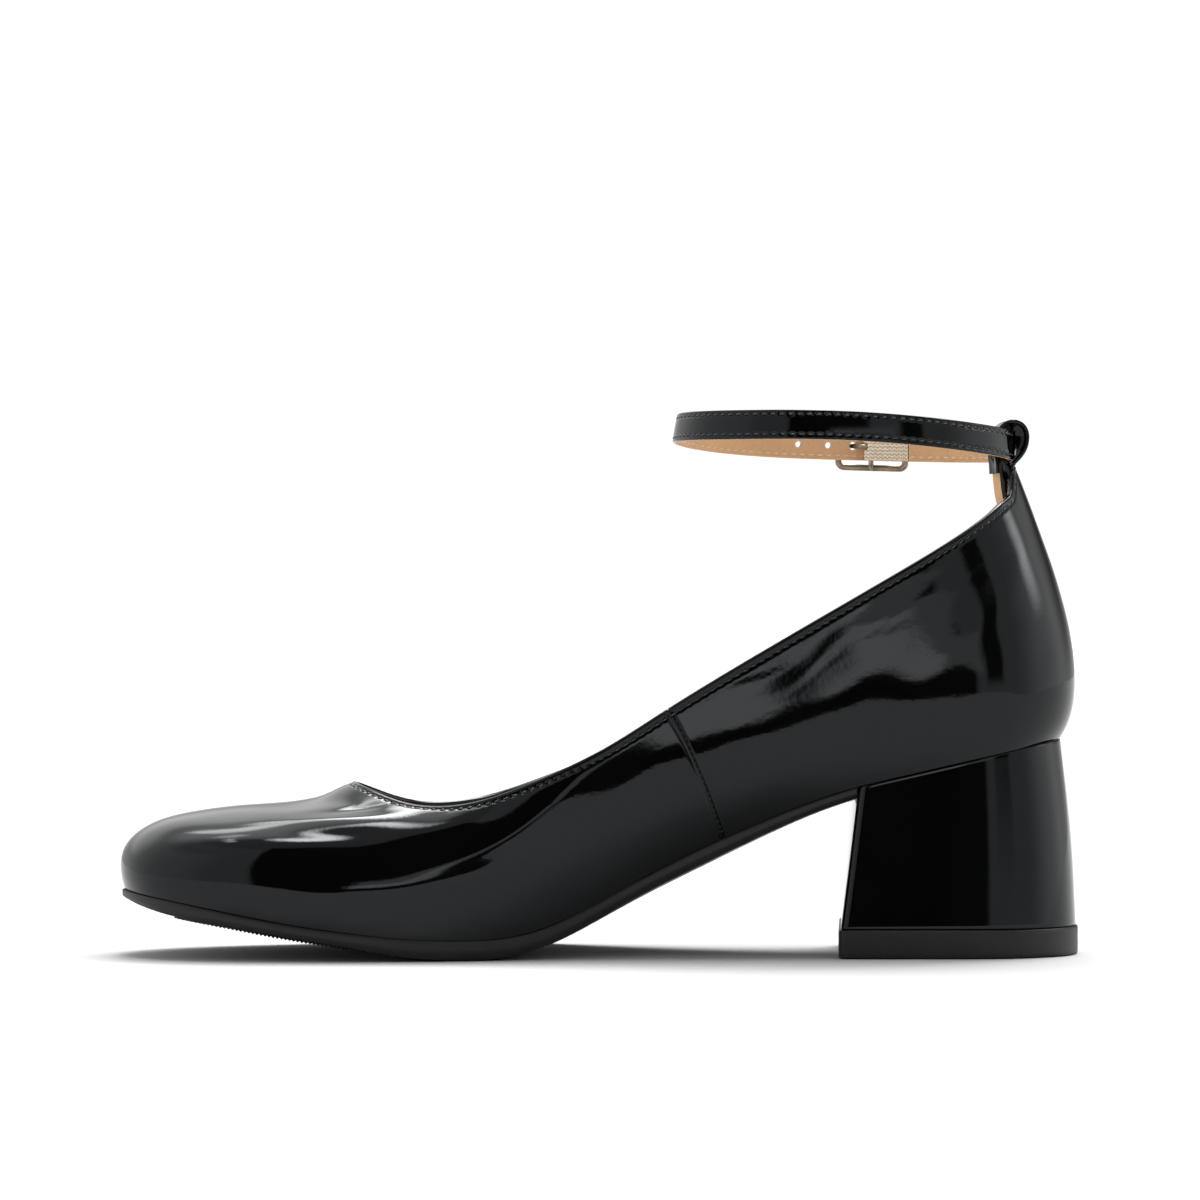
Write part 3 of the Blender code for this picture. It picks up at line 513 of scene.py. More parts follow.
def topline_speed(around):
    """Length of wall for each share up it, just under the topline."""
    near = 0.02
    return np.linalg.norm(last_surface(around, 1.0) - last_surface(around, 1.0 - near), axis=-1) / near


def up_below_topline(around, drop):
    """Share up the wall at a distance below the topline."""
    return 1.0 - drop / topline_speed(around)


def ring_frame(along):
    """Place, run, outward and upward directions of the strap's ring, at mm behind the buckle's bar."""
    where = np.interp(np.mod(BAR_RUN + np.asarray(along, float), RING_LENGTH), RING_RUN, RING_SCAN)
    rows = STRAP_RING(where)
    run = STRAP_RING.slope(where)[..., :3]
    run[..., 2] = 0.0
    run = unit(run)
    outward = np.stack([-run[..., 1], run[..., 0], np.zeros_like(run[..., 0])], -1)
    lean = np.radians(rows[..., 3:4])
    upward = UP * np.cos(lean) - outward * np.sin(lean)
    outward = outward * np.cos(lean) + UP * np.sin(lean)
    return rows[..., :3], run, outward, upward


def ring_point(along, out, up=0.0):
    place, _, outward, upward = ring_frame(along)
    return place + outward * np.asarray(out, float)[..., None] + upward * np.asarray(up, float)[..., None]


# Modelling helpers

def only(piece):
    """Leaves one object selected and active."""
    bpy.ops.object.select_all(action="DESELECT")
    piece.select_set(True)
    bpy.context.view_layer.objects.active = piece


def primitive(name, add, **settings):
    """A new primitive with a name, selected alone."""
    bpy.ops.object.select_all(action="DESELECT")
    add(**settings)
    piece = bpy.context.active_object
    piece.name = name
    piece.data.name = name
    return piece


def points_of(piece):
    flat = np.empty(len(piece.data.vertices) * 3, np.float32)
    piece.data.vertices.foreach_get("co", flat)
    return flat.reshape(-1, 3).astype(float)


def set_points(piece, points):
    piece.data.vertices.foreach_set("co", np.asarray(points, np.float32).ravel())
    piece.data.update()


def lay_sheet(name, columns, rows, place, finish_of=None, fill_ends=True):
    """A grid primitive laid out at place(column, row) in mm and closed, with a finish for each row."""
    piece = primitive(name, bpy.ops.mesh.primitive_grid_add, x_subdivisions=columns, y_subdivisions=rows,
                      size=1.0, calc_uvs=True)
    flat = points_of(piece) + 0.5
    column = np.rint(flat[:, 0] * columns).astype(int)
    row = np.rint(flat[:, 1] * rows).astype(int)
    set_points(piece, place(column, row) * MM)
    if finish_of is not None:
        corner = np.empty(len(piece.data.loops), np.int32)
        piece.data.loops.foreach_get("vertex_index", corner)
        corner = corner.reshape(-1, 4)
        cells = finish_of(row[corner].min(1))
        piece.data.polygons.foreach_set("material_index", np.asarray(cells, np.int32))
    return close_sheet(piece, fill_ends)


def lay_rings(name, rings):
    """A closed skin over rings of points, one after the other."""
    rings = np.array(rings)
    count = rings.shape[1]

    def place(column, row):
        return rings[row, column % count]

    return lay_sheet(name, count, len(rings) - 1, place)


def close_sheet(piece, fill_ends=False):
    """Joins the edges of a sheet that lie on each other, fills open ends and turns every face outwards."""
    only(piece)
    bpy.ops.object.mode_set(mode="EDIT")
    bpy.ops.mesh.select_all(action="SELECT")
    bpy.ops.mesh.remove_doubles(threshold=1e-6)
    if fill_ends:
        bpy.ops.mesh.fill_holes(sides=0)
    bpy.ops.mesh.normals_make_consistent(inside=False)
    bpy.ops.object.mode_set(mode="OBJECT")
    return piece


def shade(piece, degrees=40.0):
    only(piece)
    bpy.ops.object.shade_smooth_by_angle(angle=math.radians(degrees))
    return piece


def apply_modifier(piece, kind, name, **settings):
    only(piece)
    change = piece.modifiers.new(name, kind)
    for setting, value in settings.items():
        setattr(change, setting, value)
    bpy.ops.object.modifier_apply(modifier=change.name)
    return piece


def cut(piece, cutter, operation="DIFFERENCE"):
    """Takes a cutter out of a piece, or joins it to the piece, and deletes the cutter."""
    apply_modifier(piece, "BOOLEAN", operation.title(), operation=operation, solver="EXACT", object=cutter)
    only(cutter)
    bpy.ops.object.delete()
    return piece


def settle(piece, slot, *nodes):
    """Puts a finished piece on the shoe: its body and the solids that it stands for. The slot is not used."""
    if nodes:
        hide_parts(*nodes)
    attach(piece, "root")
    return piece


def dress(piece, *finishes):
    for name in finishes:
        piece.data.materials.append(finish(name))
    return piece


def finished(piece, degrees, *finishes):
    """Gives a piece its finishes and smooths it where faces meet at less than the angle."""
    return shade(dress(piece, *finishes), degrees)


# A stitch as a share of the pitch, its slant and the step that finds its direction, then its flattening, its
# rise and its sunk ends as shares of the thread
STITCH_SHARE = 0.66
STITCH_SLANT = math.radians(7.0)
STITCH_STEP = 0.3
STITCH_FLAT = 0.8
STITCH_RISE = 0.22
STITCH_SINK = 0.75


def make_stitch(stitch_length, thread):
    """One stitch, its thread sunk into the leather at both ends, lying along X with Z out of the leather."""
    stitch = primitive("stitch pattern", bpy.ops.mesh.primitive_uv_sphere_add, segments=8, ring_count=6,
                       radius=0.5)
    bpy.ops.object.mode_set(mode="EDIT")
    bpy.ops.mesh.select_all(action="SELECT")
    bpy.ops.transform.rotate(value=math.pi / 2, orient_axis="Y", center_override=(0.0, 0.0, 0.0))
    bpy.ops.object.mode_set(mode="OBJECT")
    points = points_of(stitch)
    reach = points[:, 0] * 2
    points *= (stitch_length, thread, STITCH_FLAT * thread)
    points[:, 2] += thread * (STITCH_RISE - STITCH_SINK * reach ** 4)
    set_points(stitch, points)
    return stitch


def stitch_count(run, pitch):
    return max(int(round(run[-1] / pitch)), 1)


def pull(run, at, pitch):
    """How hard the thread pulls the leather down along a row: 1 at a stitch's middle, 0 between stitches."""
    turns = at / run[-1] * stitch_count(run, pitch)
    return 0.5 - 0.5 * np.cos(2 * math.pi * turns)


def sew(name, lines, pitch, thread):
    """Stitches along lines, each as points on the leather with the way out of it, joined in one mesh."""
    stitch = make_stitch(STITCH_SHARE * pitch, thread)
    shape = points_of(stitch)
    faces = [list(face.vertices) for face in stitch.data.polygons]
    only(stitch)
    bpy.ops.object.delete()
    points = []
    joined = []
    for line, outward in lines:
        run = run_along(line)
        count = stitch_count(run, pitch)
        middle = (np.arange(count) + 0.5) * run[-1] / count
        out = unit(on_line(middle, run, outward))
        along = unit(on_line(middle + STITCH_STEP, run, line) - on_line(middle - STITCH_STEP, run, line))
        along = along * math.cos(STITCH_SLANT) + unit(np.cross(out, along)) * math.sin(STITCH_SLANT)
        for spot, ways in zip(on_line(middle, run, line), np.stack([along, np.cross(out, along), out], 1)):
            start = len(points) * len(shape)
            points.append(spot + shape @ ways)
            joined.extend([[start + corner for corner in face] for face in faces])
    mesh = bpy.data.meshes.new(name)
    mesh.from_pydata(np.concatenate(points) * MM, [], joined)
    mesh.update()
    piece = bpy.data.objects.new(name, mesh)
    bpy.context.scene.collection.objects.link(piece)
    return shade(piece, 80.0)


# Materials

class Value:
    """A socket in a node tree; arithmetic with numbers and other values adds Math nodes."""

    def __init__(self, tree, socket=None):
        self.tree = tree
        self.socket = socket

    def node(self, kind, settings=None, sockets=None, out=0):
        """Adds any node: its settings first, then the values or links of its sockets."""
        made = self.tree.nodes.new(kind)
        for name, value in (settings or {}).items():
            setattr(made, name, value)
        for name, value in (sockets or {}).items():
            if isinstance(value, Value):
                self.tree.links.new(value.socket, made.inputs[name])
            else:
                made.inputs[name].default_value = value
        return Value(self.tree, made.outputs[out])

    def sibling(self, out):
        """Another output of the same node."""
        return Value(self.tree, self.socket.node.outputs[out])

    def maths(self, operation, first, second=0.0, third=0.0):
        return self.node("ShaderNodeMath", {"operation": operation}, {0: first, 1: second, 2: third})

    def __add__(self, other):
        return self.maths("ADD", self, other)

    __radd__ = __add__

    def __sub__(self, other):
        return self.maths("SUBTRACT", self, other)

    def __rsub__(self, other):
        return self.maths("SUBTRACT", other, self)

    def __mul__(self, other):
        return self.maths("MULTIPLY", self, other)

    def ramp(self, low, high):
        """From 0 at low to 1 at high with soft ends."""
        return self.node("ShaderNodeMapRange", {"interpolation_type": "SMOOTHSTEP"},
                         {"Value": self, "From Min": low, "From Max": high})

    def noise(self, scale, detail=2.0, roughness=0.5):
        return self.node("ShaderNodeTexNoise", None,
                         {"Vector": self, "Scale": scale, "Detail": detail, "Roughness": roughness})

    def cells(self, scale):
        return self.node("ShaderNodeTexVoronoi", None, {"Vector": self, "Scale": scale})

    def stretched(self, scale):
        return self.node("ShaderNodeMapping", None, {"Vector": self, "Scale": scale})

    def blend(self, first, second):
        """A colour between two, by this value."""
        return self.node("ShaderNodeMix", {"data_type": "RGBA"}, {0: self, 6: first, 7: second}, out=2)

    def bump(self, distance):
        return self.node("ShaderNodeBump", None, {"Height": self, "Distance": distance, "Strength": 1.0})


def new_material(name):
    """A new material, its shader and the coordinates that its patterns follow."""
    material = bpy.data.materials.new(name)
    material.use_nodes = True
    shader = material.node_tree.nodes["Principled BSDF"]
    place = Value(material.node_tree).node("ShaderNodeTexCoord", out="Object")
    return material, shader, place


def feed(shader, **values):
    """Links what varies over the surface, and sets what doesn't on the shader's own sockets."""
    for name, value in values.items():
        socket = shader.inputs[name.replace("_", " ").title().replace("Ior", "IOR")]
        if isinstance(value, Value):
            value.tree.links.new(value.socket, socket)
        else:
            socket.default_value = value


def scaled(base, factor):
    return (base[0] * factor, base[1] * factor, base[2] * factor, 1.0)


# Black lacquer; the faint blue in its reflections is painted light, the studio light's colour put into the
# lacquer's specular tint
LACQUER = {
    "specular_ior_level": 0.22, "specular_tint": (0.88, 0.96, 1.0, 1.0), "coat_weight": 0.13,
    "coat_roughness": 0.02, "coat_ior": 1.5,
}


def patent_leather(place, base, peel):
    """Lacquered black leather: a slow wave and a fine peel in the lacquer, with faint haze."""
    wave = place.noise(210.0, 1.0)
    fine = place.noise(780.0, 2.0)
    haze = place.noise(34.0, 3.0).ramp(0.4, 0.75)
    specks = place.cells(1400.0).ramp(0.10, 0.03)
    return dict(base_color=haze.blend(base, scaled(base, 1.5)), roughness=0.055 + haze * 0.03 + specks * 0.05,
                normal=(wave * 0.6 + fine * 0.6).bump(peel), **LACQUER)


def lining_leather(place, base):
    """Tan lining leather with pores, a soft grain and a little unevenness of colour."""
    cloud = place.noise(55.0, 4.0)
    grain = place.noise(900.0, 3.0, 0.6)
    pores = place.cells(1100.0).ramp(0.32, 0.08)
    tone = cloud.blend(scaled(base, 0.86), scaled(base, 1.1))
    return dict(base_color=(pores * 0.35).blend(tone, scaled(base, 0.55)), roughness=0.48 + grain * 0.2,
                normal=(grain * 0.6 - pores * 0.5).bump(0.00012), specular_ior_level=0.26)


def rubber(place, base):
    """Moulded black rubber with a dull skin and faint dust."""
    grain = place.noise(1500.0, 3.0, 0.6)
    dust = place.noise(70.0, 4.0).ramp(0.45, 0.8)
    return dict(base_color=(dust * 0.5).blend(base, scaled(base, 1.9)),
                roughness=0.36 + grain * 0.14 + dust * 0.1, normal=grain.bump(0.00004),
                specular_ior_level=0.29)


def gloss_heel(place, base):
    """Smooth black heel cover under a hard gloss."""
    wave = place.noise(120.0, 1.0)
    haze = place.noise(26.0, 3.0).ramp(0.4, 0.8)
    return dict(base_color=haze.blend(base, scaled(base, 1.6)), roughness=0.05 + haze * 0.03,
                normal=wave.bump(0.00002), **LACQUER)


def antique_brass(place, base):
    """Pale brass, rubbed bright in patches and darker where the tarnish stays."""
    tarnish = place.noise(260.0, 4.0, 0.65).ramp(0.35, 0.7)
    scratch = place.stretched((300.0, 2600.0, 2600.0)).noise(1.0, 2.0)
    return dict(base_color=tarnish.blend(scaled(base, 1.15), scaled(base, 0.62)),
                roughness=0.24 + tarnish * 0.16 + scratch * 0.08, normal=(scratch * 0.5).bump(0.00002),
                metallic=1.0)


def woven_elastic(place, base):
    """Ivory elastic in a herringbone of yarns along its length."""
    flat = place.sibling("UV")
    along = flat.node("ShaderNodeSeparateXYZ", None, {0: flat})
    picks = along * 29.0
    zigzag = place.maths("PINGPONG", picks, 1.0)
    twill = place.maths("SINE", (along.sibling("Y") * 18.0 + zigzag * 0.45) * (2 * math.pi))
    wale = place.maths("SINE", picks * (2 * math.pi))
    yarn = twill * 0.5 + 0.5
    return dict(base_color=yarn.blend(scaled(base, 0.62), scaled(base, 1.12)), roughness=0.75 + yarn * 0.15,
                normal=(yarn * 0.7 + wale * 0.3).bump(0.00025), specular_ior_level=0.16)


def sewing_thread(place, base, gloss, depth=1.0):
    """Twisted polyester thread; a depth below 1 darkens its colour as painted shade, for thread that lies in
    a shaded groove.
    """
    twist = place.stretched((5200.0, 5200.0, 9000.0)).noise(1.0, 1.0)
    # depth scales the colour down: painted shade, not a darker thread
    base = scaled(base, depth)
    return dict(base_color=twist.blend(scaled(base, 0.7), scaled(base, 1.3)), roughness=gloss + twist * 0.15,
                normal=twist.bump(0.00005), specular_ior_level=0.45)


FINISHES = table("material recipe colour settings", {
    "patent": ("black patent leather", patent_leather, "patent", {"peel": 0.000018}),
    "strap patent": ("black patent strap", patent_leather, "patent", {"peel": 0.000012}),
    "lining": ("tan lining leather", lining_leather, "lining", {}),
    "sock": ("tan sock leather", lining_leather, "sock", {}),
    "sole": ("black sole rubber", rubber, "sole", {}),
    "lift": ("black top lift rubber", rubber, "lift", {}),
    "heel": ("black gloss heel", gloss_heel, "heel", {}),
    "elastic": ("ivory woven elastic", woven_elastic, "elastic", {}),
    "brass": ("pale antique brass", antique_brass, "brass", {}),
    "black thread": ("black thread", sewing_thread, "black_thread", {"gloss": 0.16}),
    # The seam thread's depth of 0.2 is painted shade of the seam's groove
    "seam thread": ("black seam thread", sewing_thread, "black_thread", {"gloss": 0.3, "depth": 0.2}),
    "tan thread": ("tan thread", sewing_thread, "tan_thread", {"gloss": 0.5}),
})
MATERIALS = {}


def finish(name):
    """A material of the shoe, made once."""
    if name not in MATERIALS:
        row = FINISHES[name]
        material, shader, place = new_material(row.material)
        feed(shader, **row.recipe(place, colours(row.colour), **row.settings))
        MATERIALS[name] = material
    return MATERIALS[name]


# The upper

# Grooves and folds of the finished upper in mm: how far from the seam's edge, the topline or the stitch
# row that they follow, then half width and height; the dimples only where the thread pulls
RELIEF = table("middle half_width height", {
    "seam groove": (0.0, 0.28, -0.42),
    "vamp tuck": (-0.25, 0.35, -0.16),
    "topline fold": (0.9, 0.7, 0.2),
    "topline groove": (0.0, 0.42, -0.1),
    "topline dimples": (0.0, 0.42, -0.24),
})

# Where the drag lines end, behind the seam and below the topline, and over what length they fade
DRAG_ENDS = table("place fade", {"front": (6.0, 16.0), "back": (104.0, 20.0), "low": (18.0, 10.0)})
DRAG_DRIFT = 0.35

# The quarter's edge at the seam, and the seam's stitch row at its foot
EDGE_START = -0.15
EDGE_RUN = 0.45
SEAM_FADE = 16.0
SEAM_ROW_FOOT = 0.45
SEAM_ROW_UP = 0.45
SEAM_ROW_RISE = 0.5

# Creases keep clear of the topline and of the feather
CALM_DROP = 3.0
CALM_FOOT = 0.12

# How deep the topline's stitches sit in their groove
ROW_DEPTH = 0.16


def creases(around, up):
    """Height of the listed creases."""
    height = np.zeros(np.broadcast(around, up).shape)
    for row in CREASES:
        centre = SECTION_AT[row.section] + row.on / ROUND_LENGTH
        a = mm_on(around, centre)
        b = (up - row.share_up) * float(wall_length(centre))
        slant = math.radians(row.slant_deg)
        along = a * math.cos(slant) + b * math.sin(slant)
        across = b * math.cos(slant) - a * math.sin(slant)
        height += row.height * bell(along, row.half_length) * bell(across, row.half_width)
    return height


def waves(place):
    height = np.zeros(place.shape[:-1])
    for row in WAVES:
        turn = place[..., 0] / row.x_length + place[..., 1] / row.y_length + place[..., 2] / row.z_length
        height += row.height * np.sin(2 * math.pi * turn + math.radians(row.phase_deg))
    return height


def drag_lines(behind, drop):
    """Fine lines that run with the topline where the quarter was pulled over the last."""
    height = np.zeros(np.broadcast(behind, drop).shape)
    for row in DRAG_LINES:
        phase = math.radians(row.phase_deg)
        drift = DRAG_DRIFT * np.sin(2 * math.pi * behind / row.run_length + 2 * phase)
        height += row.height * np.sin(2 * math.pi * (drop / row.drop_length + drift) + phase)
    front, back, low = DRAG_ENDS.values()
    height *= ease((behind - front.place) / front.fade) * ease((back.place - behind) / back.fade)
    return height * ease((low.place - drop) / low.fade)


def seam_row_behind(up, size):
    """How far the seam's stitches lie behind its edge, closing in on it from the topline down."""
    return SEAM_ROW_FOOT + (size["seam_row"] - SEAM_ROW_FOOT) * ease((up - SEAM_ROW_UP) / SEAM_ROW_RISE)


def topline_row(size):
    """Places round the upper and the line of its topline row on the last."""
    around = np.linspace(0.0, 1.0, 1601)
    return around, last_surface(around, up_below_topline(around, size["topline_row"]))


def topline_pull(around, size):
    places, line = topline_row(size)
    run = run_along(line)
    return pull(run, np.interp(np.mod(around, 1.0), places, run), size["stitch_pitch"])


def relief_of(name, distance):
    row = RELIEF[name]
    return row.height * bell(distance - row.middle, row.half_width)


def upper_relief(around, up, drop, place, size):
    """How far the finished upper stands out from the last: seam, topline, stitch grooves and creases."""
    behind = (around - SEAM) * ROUND_LENGTH
    from_row = drop - size["topline_row"]
    quarter = ease((behind - EDGE_START) / EDGE_RUN) * bell(np.maximum(behind, 0.0), SEAM_FADE)
    relief = size["seam_step"] * quarter + relief_of("vamp tuck", behind)
    relief += relief_of("seam groove", behind - seam_row_behind(up, size))
    relief += relief_of("topline fold", drop) + relief_of("topline groove", from_row)
    relief += relief_of("topline dimples", from_row) * topline_pull(around, size)
    calm = ease(drop / CALM_DROP) * ease(up / CALM_FOOT)
    return relief + calm * (creases(around, up) + waves(place) + drag_lines(behind, drop))


# The upper's grid: columns round it, closer together at the seam, and rows up the wall, under the topline,
# over the rim and down the lining
UPPER_COLUMNS = 900
LOW_ROWS = 62
TOP_DROPS = (7.0, 5.6, 4.5, 3.7, 3.1, 2.7, 2.4, 2.15, 1.9, 1.65, 1.4, 1.15, 0.9, 0.7, 0.55)
RIM_ROWS = 8
RIM_RISE = 0.55
LINING_ROWS = 16
SEAM_CROWDING = 9.0
SEAM_CROWD_WIDTH = 1.3
LEVEL_FOOT = 0.08


def upper_columns():
    """Places round the upper, close together at the side seam."""
    scan = np.linspace(0.0, 1.0, 20001)
    density = 1.0 + SEAM_CROWDING * bell((scan - SEAM) * ROUND_LENGTH, SEAM_CROWD_WIDTH)
    share = np.concatenate([[0.0], np.cumsum(0.5 * (density[1:] + density[:-1]))])
    return np.interp(np.linspace(0.0, share[-1], UPPER_COLUMNS + 1), share, scan)


def upper_outside(around, up, size):
    """Point on the finished outside of the upper and the way out of it."""
    place = last_surface(around, up)
    outward = last_frame(around, up)[2]
    drop = (1.0 - up) * topline_speed(around)
    return place + outward * upper_relief(around, up, drop, place, size)[..., None], outward


def build_upper(size):
    """The lasted upper: patent outside and over the rim, tan lining inside, open above and underneath."""
    columns_at = upper_columns()
    outside_rows = LOW_ROWS + len(TOP_DROPS)
    rim_end = outside_rows + RIM_ROWS
    rows = rim_end + LINING_ROWS
    wall = size["wall"]
    drops = np.array(TOP_DROPS)

    def place(column, row):
        around = columns_at[column]
        foot_row = np.where(row == rows, 0, row)
        low_end = up_below_topline(around, drops[0])
        top = up_below_topline(around, drops[np.clip(foot_row - LOW_ROWS, 0, len(drops) - 1)])
        up = np.where(foot_row < LOW_ROWS, low_end * foot_row / LOW_ROWS, top)
        inside_share = np.clip((rows - 1 - row) / (LINING_ROWS - 2), 0.0, 1.0)
        edge_up = up_below_topline(around, drops[-1])
        up = np.where(foot_row >= outside_rows, edge_up, up)
        outer, outward = upper_outside(around, up, size)
        rise = last_frame(around, edge_up)[1]
        turn = np.clip((row - outside_rows + 1) / (RIM_ROWS + 1), 0.0, 1.0) * math.pi
        thick = wall + np.linalg.norm(outer - last_surface(around, up), axis=-1)
        middle = outer - outward * (0.5 * thick)[:, None]
        rim = middle + outward * (0.5 * thick * np.cos(turn))[:, None]
        rim = rim + rise * (RIM_RISE * np.sin(turn))[:, None]
        inside_up = edge_up * inside_share
        inward = -last_frame(around, inside_up)[2]
        inward[:, 2] *= np.clip(inside_up / LEVEL_FOOT, 0.0, 1.0)
        inner = last_surface(around, inside_up) + unit(inward) * wall
        points = np.where((foot_row >= outside_rows)[:, None], rim, outer)
        return np.where(((row >= rim_end) & (row < rows))[:, None], inner, points)

    def finish_of(row):
        return np.where((row >= outside_rows + RIM_ROWS // 2 + 2) & (row < rows - 1), 1, 0)

    piece = lay_sheet("lasted_upper", UPPER_COLUMNS, rows, place, finish_of, fill_ends=False)
    return finished(piece, 60.0, "patent", "lining")


def topline_stitches(size, depth, side):
    """The row of stitches under the topline, at a depth in the wall, outside 1 or on the lining -1."""
    around, line = topline_row(size)
    outward = last_frame(around, up_below_topline(around, size["topline_row"]))[2]
    return line - depth * outward, side * outward


def seam_stitches(size):
    up = np.linspace(0.02, float(up_below_topline(np.array(SEAM), size["topline_row"] + 1.0)), 200)
    around = SEAM + seam_row_behind(up, size) / ROUND_LENGTH
    return upper_outside(around, up, size)


# The bottom

def side_lines(inset):
    """Medial and lateral edge of the bottom as y against x."""
    half = SECTION_AT["heel back"]
    lines = []
    for start, stop in ((0.0, half), (half, 1.0)):
        side, _ = feather(np.linspace(start, stop, 1400), inset)
        order = np.argsort(side[:, 0])
        lines.append((side[order, 0], side[order, 1]))
    return lines


# The sole's ends, its ribbed tread, the step at its toe, and the rows of its side bands, its tread and
# its top
SOLE_TIP = SECTIONS["toe centre"].feather_x - 0.2
SOLE_END = HEEL_SIDES["breast"].seat - 0.4
TREAD = (-104.0, -12.0)
TOE_STEP = 0.45
SIDE_ROWS = 12
BELLY_ROWS = 34
TOP_ROWS = 6

# The waist that draws in behind the ball, and the rounding of the side band's top as a share of its height
WAIST_START = -15.0
WAIST_RUN = 30.0
WAIST_TUCK = 1.2
BAND_EDGE = 0.35
BAND_ROUND = 0.2
BAND_BEND = 0.5
BELLY_ROUND = 0.14

# The tread's ribs: how far they start outside the tread's edge, over what width they deepen, over what
# lengths they fade at the toe and at the waist, and how sharp they are
RIB_START = 1.0
RIB_DEEPEN = 1.8
RIB_TOE_FADE = 0.3
RIB_WAIST_FADE = 1.5
RIB_SHARP = 0.9


def sole_stations(rib_pitch):
    """Places along the sole, close together at the toe's tip and at the tread's ribs."""
    toe = SOLE_TIP + 14.0 * np.linspace(0.0, 1.0, 34) ** 2
    ribs = np.arange(TREAD[0] - 0.3, TREAD[1], rib_pitch / 5)
    step = np.array([TREAD[0] - 0.05, TREAD[0] + 0.05])
    shank = np.linspace(TREAD[1] + 0.8, SOLE_END, 70)
    toe = toe[toe < TREAD[0] - 0.4]
    return np.unique(np.concatenate([toe, step, ribs, shank]))


def build_outsole(size):
    """The rubber sole: a side band with a lower bevel, a step at the toe and fine ribs across the tread."""
    lines = side_lines(-size["sole_proud"])
    stations = sole_stations(size["rib_pitch"])
    ring = 2 * SIDE_ROWS + BELLY_ROWS + TOP_ROWS

    def place(column, row):
        x = stations[column]
        medial = np.interp(x, *lines[0])
        lateral = np.interp(x, *lines[1])
        thick, belly, bevel = np.moveaxis(SOLE_LINE(x), -1, 0)
        top = feather_height(x) - SEAT_GAP
        edge_low = np.maximum(top - thick, 0.0)
        low = np.maximum(edge_low - belly, 0.0)
        waist = np.clip((x - WAIST_START) / WAIST_RUN, 0.0, 1.0)
        medial = medial + WAIST_TUCK * waist
        lateral = lateral - WAIST_TUCK * waist
        width = lateral - medial
        bevel = np.minimum(bevel, 0.3 * width)
        edge = np.minimum(BAND_EDGE, 0.1 * width)
        row = np.where(row == ring, 0, row)
        lateral_side = row >= SIDE_ROWS + BELLY_ROWS
        down = np.where(lateral_side, (2 * SIDE_ROWS + BELLY_ROWS - row) / SIDE_ROWS, row / SIDE_ROWS)
        down = np.clip(down, 0.0, 1.0)
        tuck = edge * (1 - np.sqrt(np.clip(1 - (1 - down / BAND_ROUND) ** 2, 0.0, 1.0)))
        lean = 0.15 * edge
        flat = np.clip((down - BAND_ROUND) / (BAND_BEND - BAND_ROUND), 0.0, 1.0)
        tuck = np.where(down < BAND_ROUND, tuck, lean * flat)
        tuck = tuck + (0.5 * bevel - lean) * np.clip((down - BAND_BEND) / (1 - BAND_BEND), 0.0, 1.0) ** 1.3
        side_y = np.where(lateral_side, lateral - tuck, medial + tuck)
        side_z = top + (edge_low - top) * down
        across = np.clip((row - SIDE_ROWS) / BELLY_ROWS, 0.0, 1.0)
        from_edge = np.minimum(across, 1 - across)
        belly_y = medial + 0.5 * bevel + (width - bevel) * across
        belly_z = edge_low + (low - edge_low) * ease(from_edge / BELLY_ROUND)
        inside_edge = ease((from_edge * width + RIB_START) / RIB_DEEPEN)
        on_tread = ease((x - TREAD[0]) / RIB_TOE_FADE) * ease((TREAD[1] - x) / RIB_WAIST_FADE)
        rib = ease(0.5 + RIB_SHARP * np.cos(2 * math.pi * x / size["rib_pitch"]))
        belly_z = belly_z + size["rib_depth"] * (1 - rib) * inside_edge * on_tread
        toe_step = np.minimum(TOE_STEP, 0.2 * thick) * (x < TREAD[0])
        is_belly = (row >= SIDE_ROWS) & (row <= SIDE_ROWS + BELLY_ROWS)
        y = np.where(is_belly, belly_y, side_y)
        z = np.where(is_belly, belly_z, side_z) + toe_step * ease((down - BAND_BEND) / (1 - BAND_BEND))
        over = np.clip((row - 2 * SIDE_ROWS - BELLY_ROWS) / TOP_ROWS, 0.0, 1.0)
        y = np.where(over > 0, lateral - edge + (medial + edge - lateral + edge) * over, y)
        z = np.where(over > 0, top, z)
        return np.stack([x, y, z], -1)

    return finished(lay_sheet("moulded_outsole", len(stations) - 1, ring, place), 35.0, "sole")


INSOLE_INSET = 1.75
INSOLE_STATIONS = 181
INSOLE_RING = 48
INSOLE_DISH = 0.35


def build_insole(size):
    """The insole under its tan sock, its edge rounded and its middle a little dished."""
    lines = side_lines(INSOLE_INSET)
    start = max(lines[0][0][0], lines[1][0][0]) + 0.1
    stop = min(lines[0][0][-1], lines[1][0][-1]) - 0.1
    share = 0.5 * (1 - np.cos(np.linspace(0.0, math.pi, INSOLE_STATIONS)))
    stations = start + (stop - start) * share
    thick = size["sock"]

    def place(column, row):
        x = stations[column]
        medial = np.interp(x, *lines[0])
        lateral = np.interp(x, *lines[1])
        turn = 2 * math.pi * (row % INSOLE_RING) / INSOLE_RING
        reach = squared(np.cos(turn), 0.55)
        rise = squared(np.sin(turn), 0.25)
        y = 0.5 * (medial + lateral) + 0.5 * (lateral - medial) * reach
        z = feather_height(x) + thick * (0.5 + 0.5 * rise)
        z = z - INSOLE_DISH * ease(rise) * (1 - reach ** 2)
        return np.stack([x, y, z], -1)

    return finished(lay_sheet("sock_insole", INSOLE_STATIONS - 1, INSOLE_RING, place), 50.0, "sock")


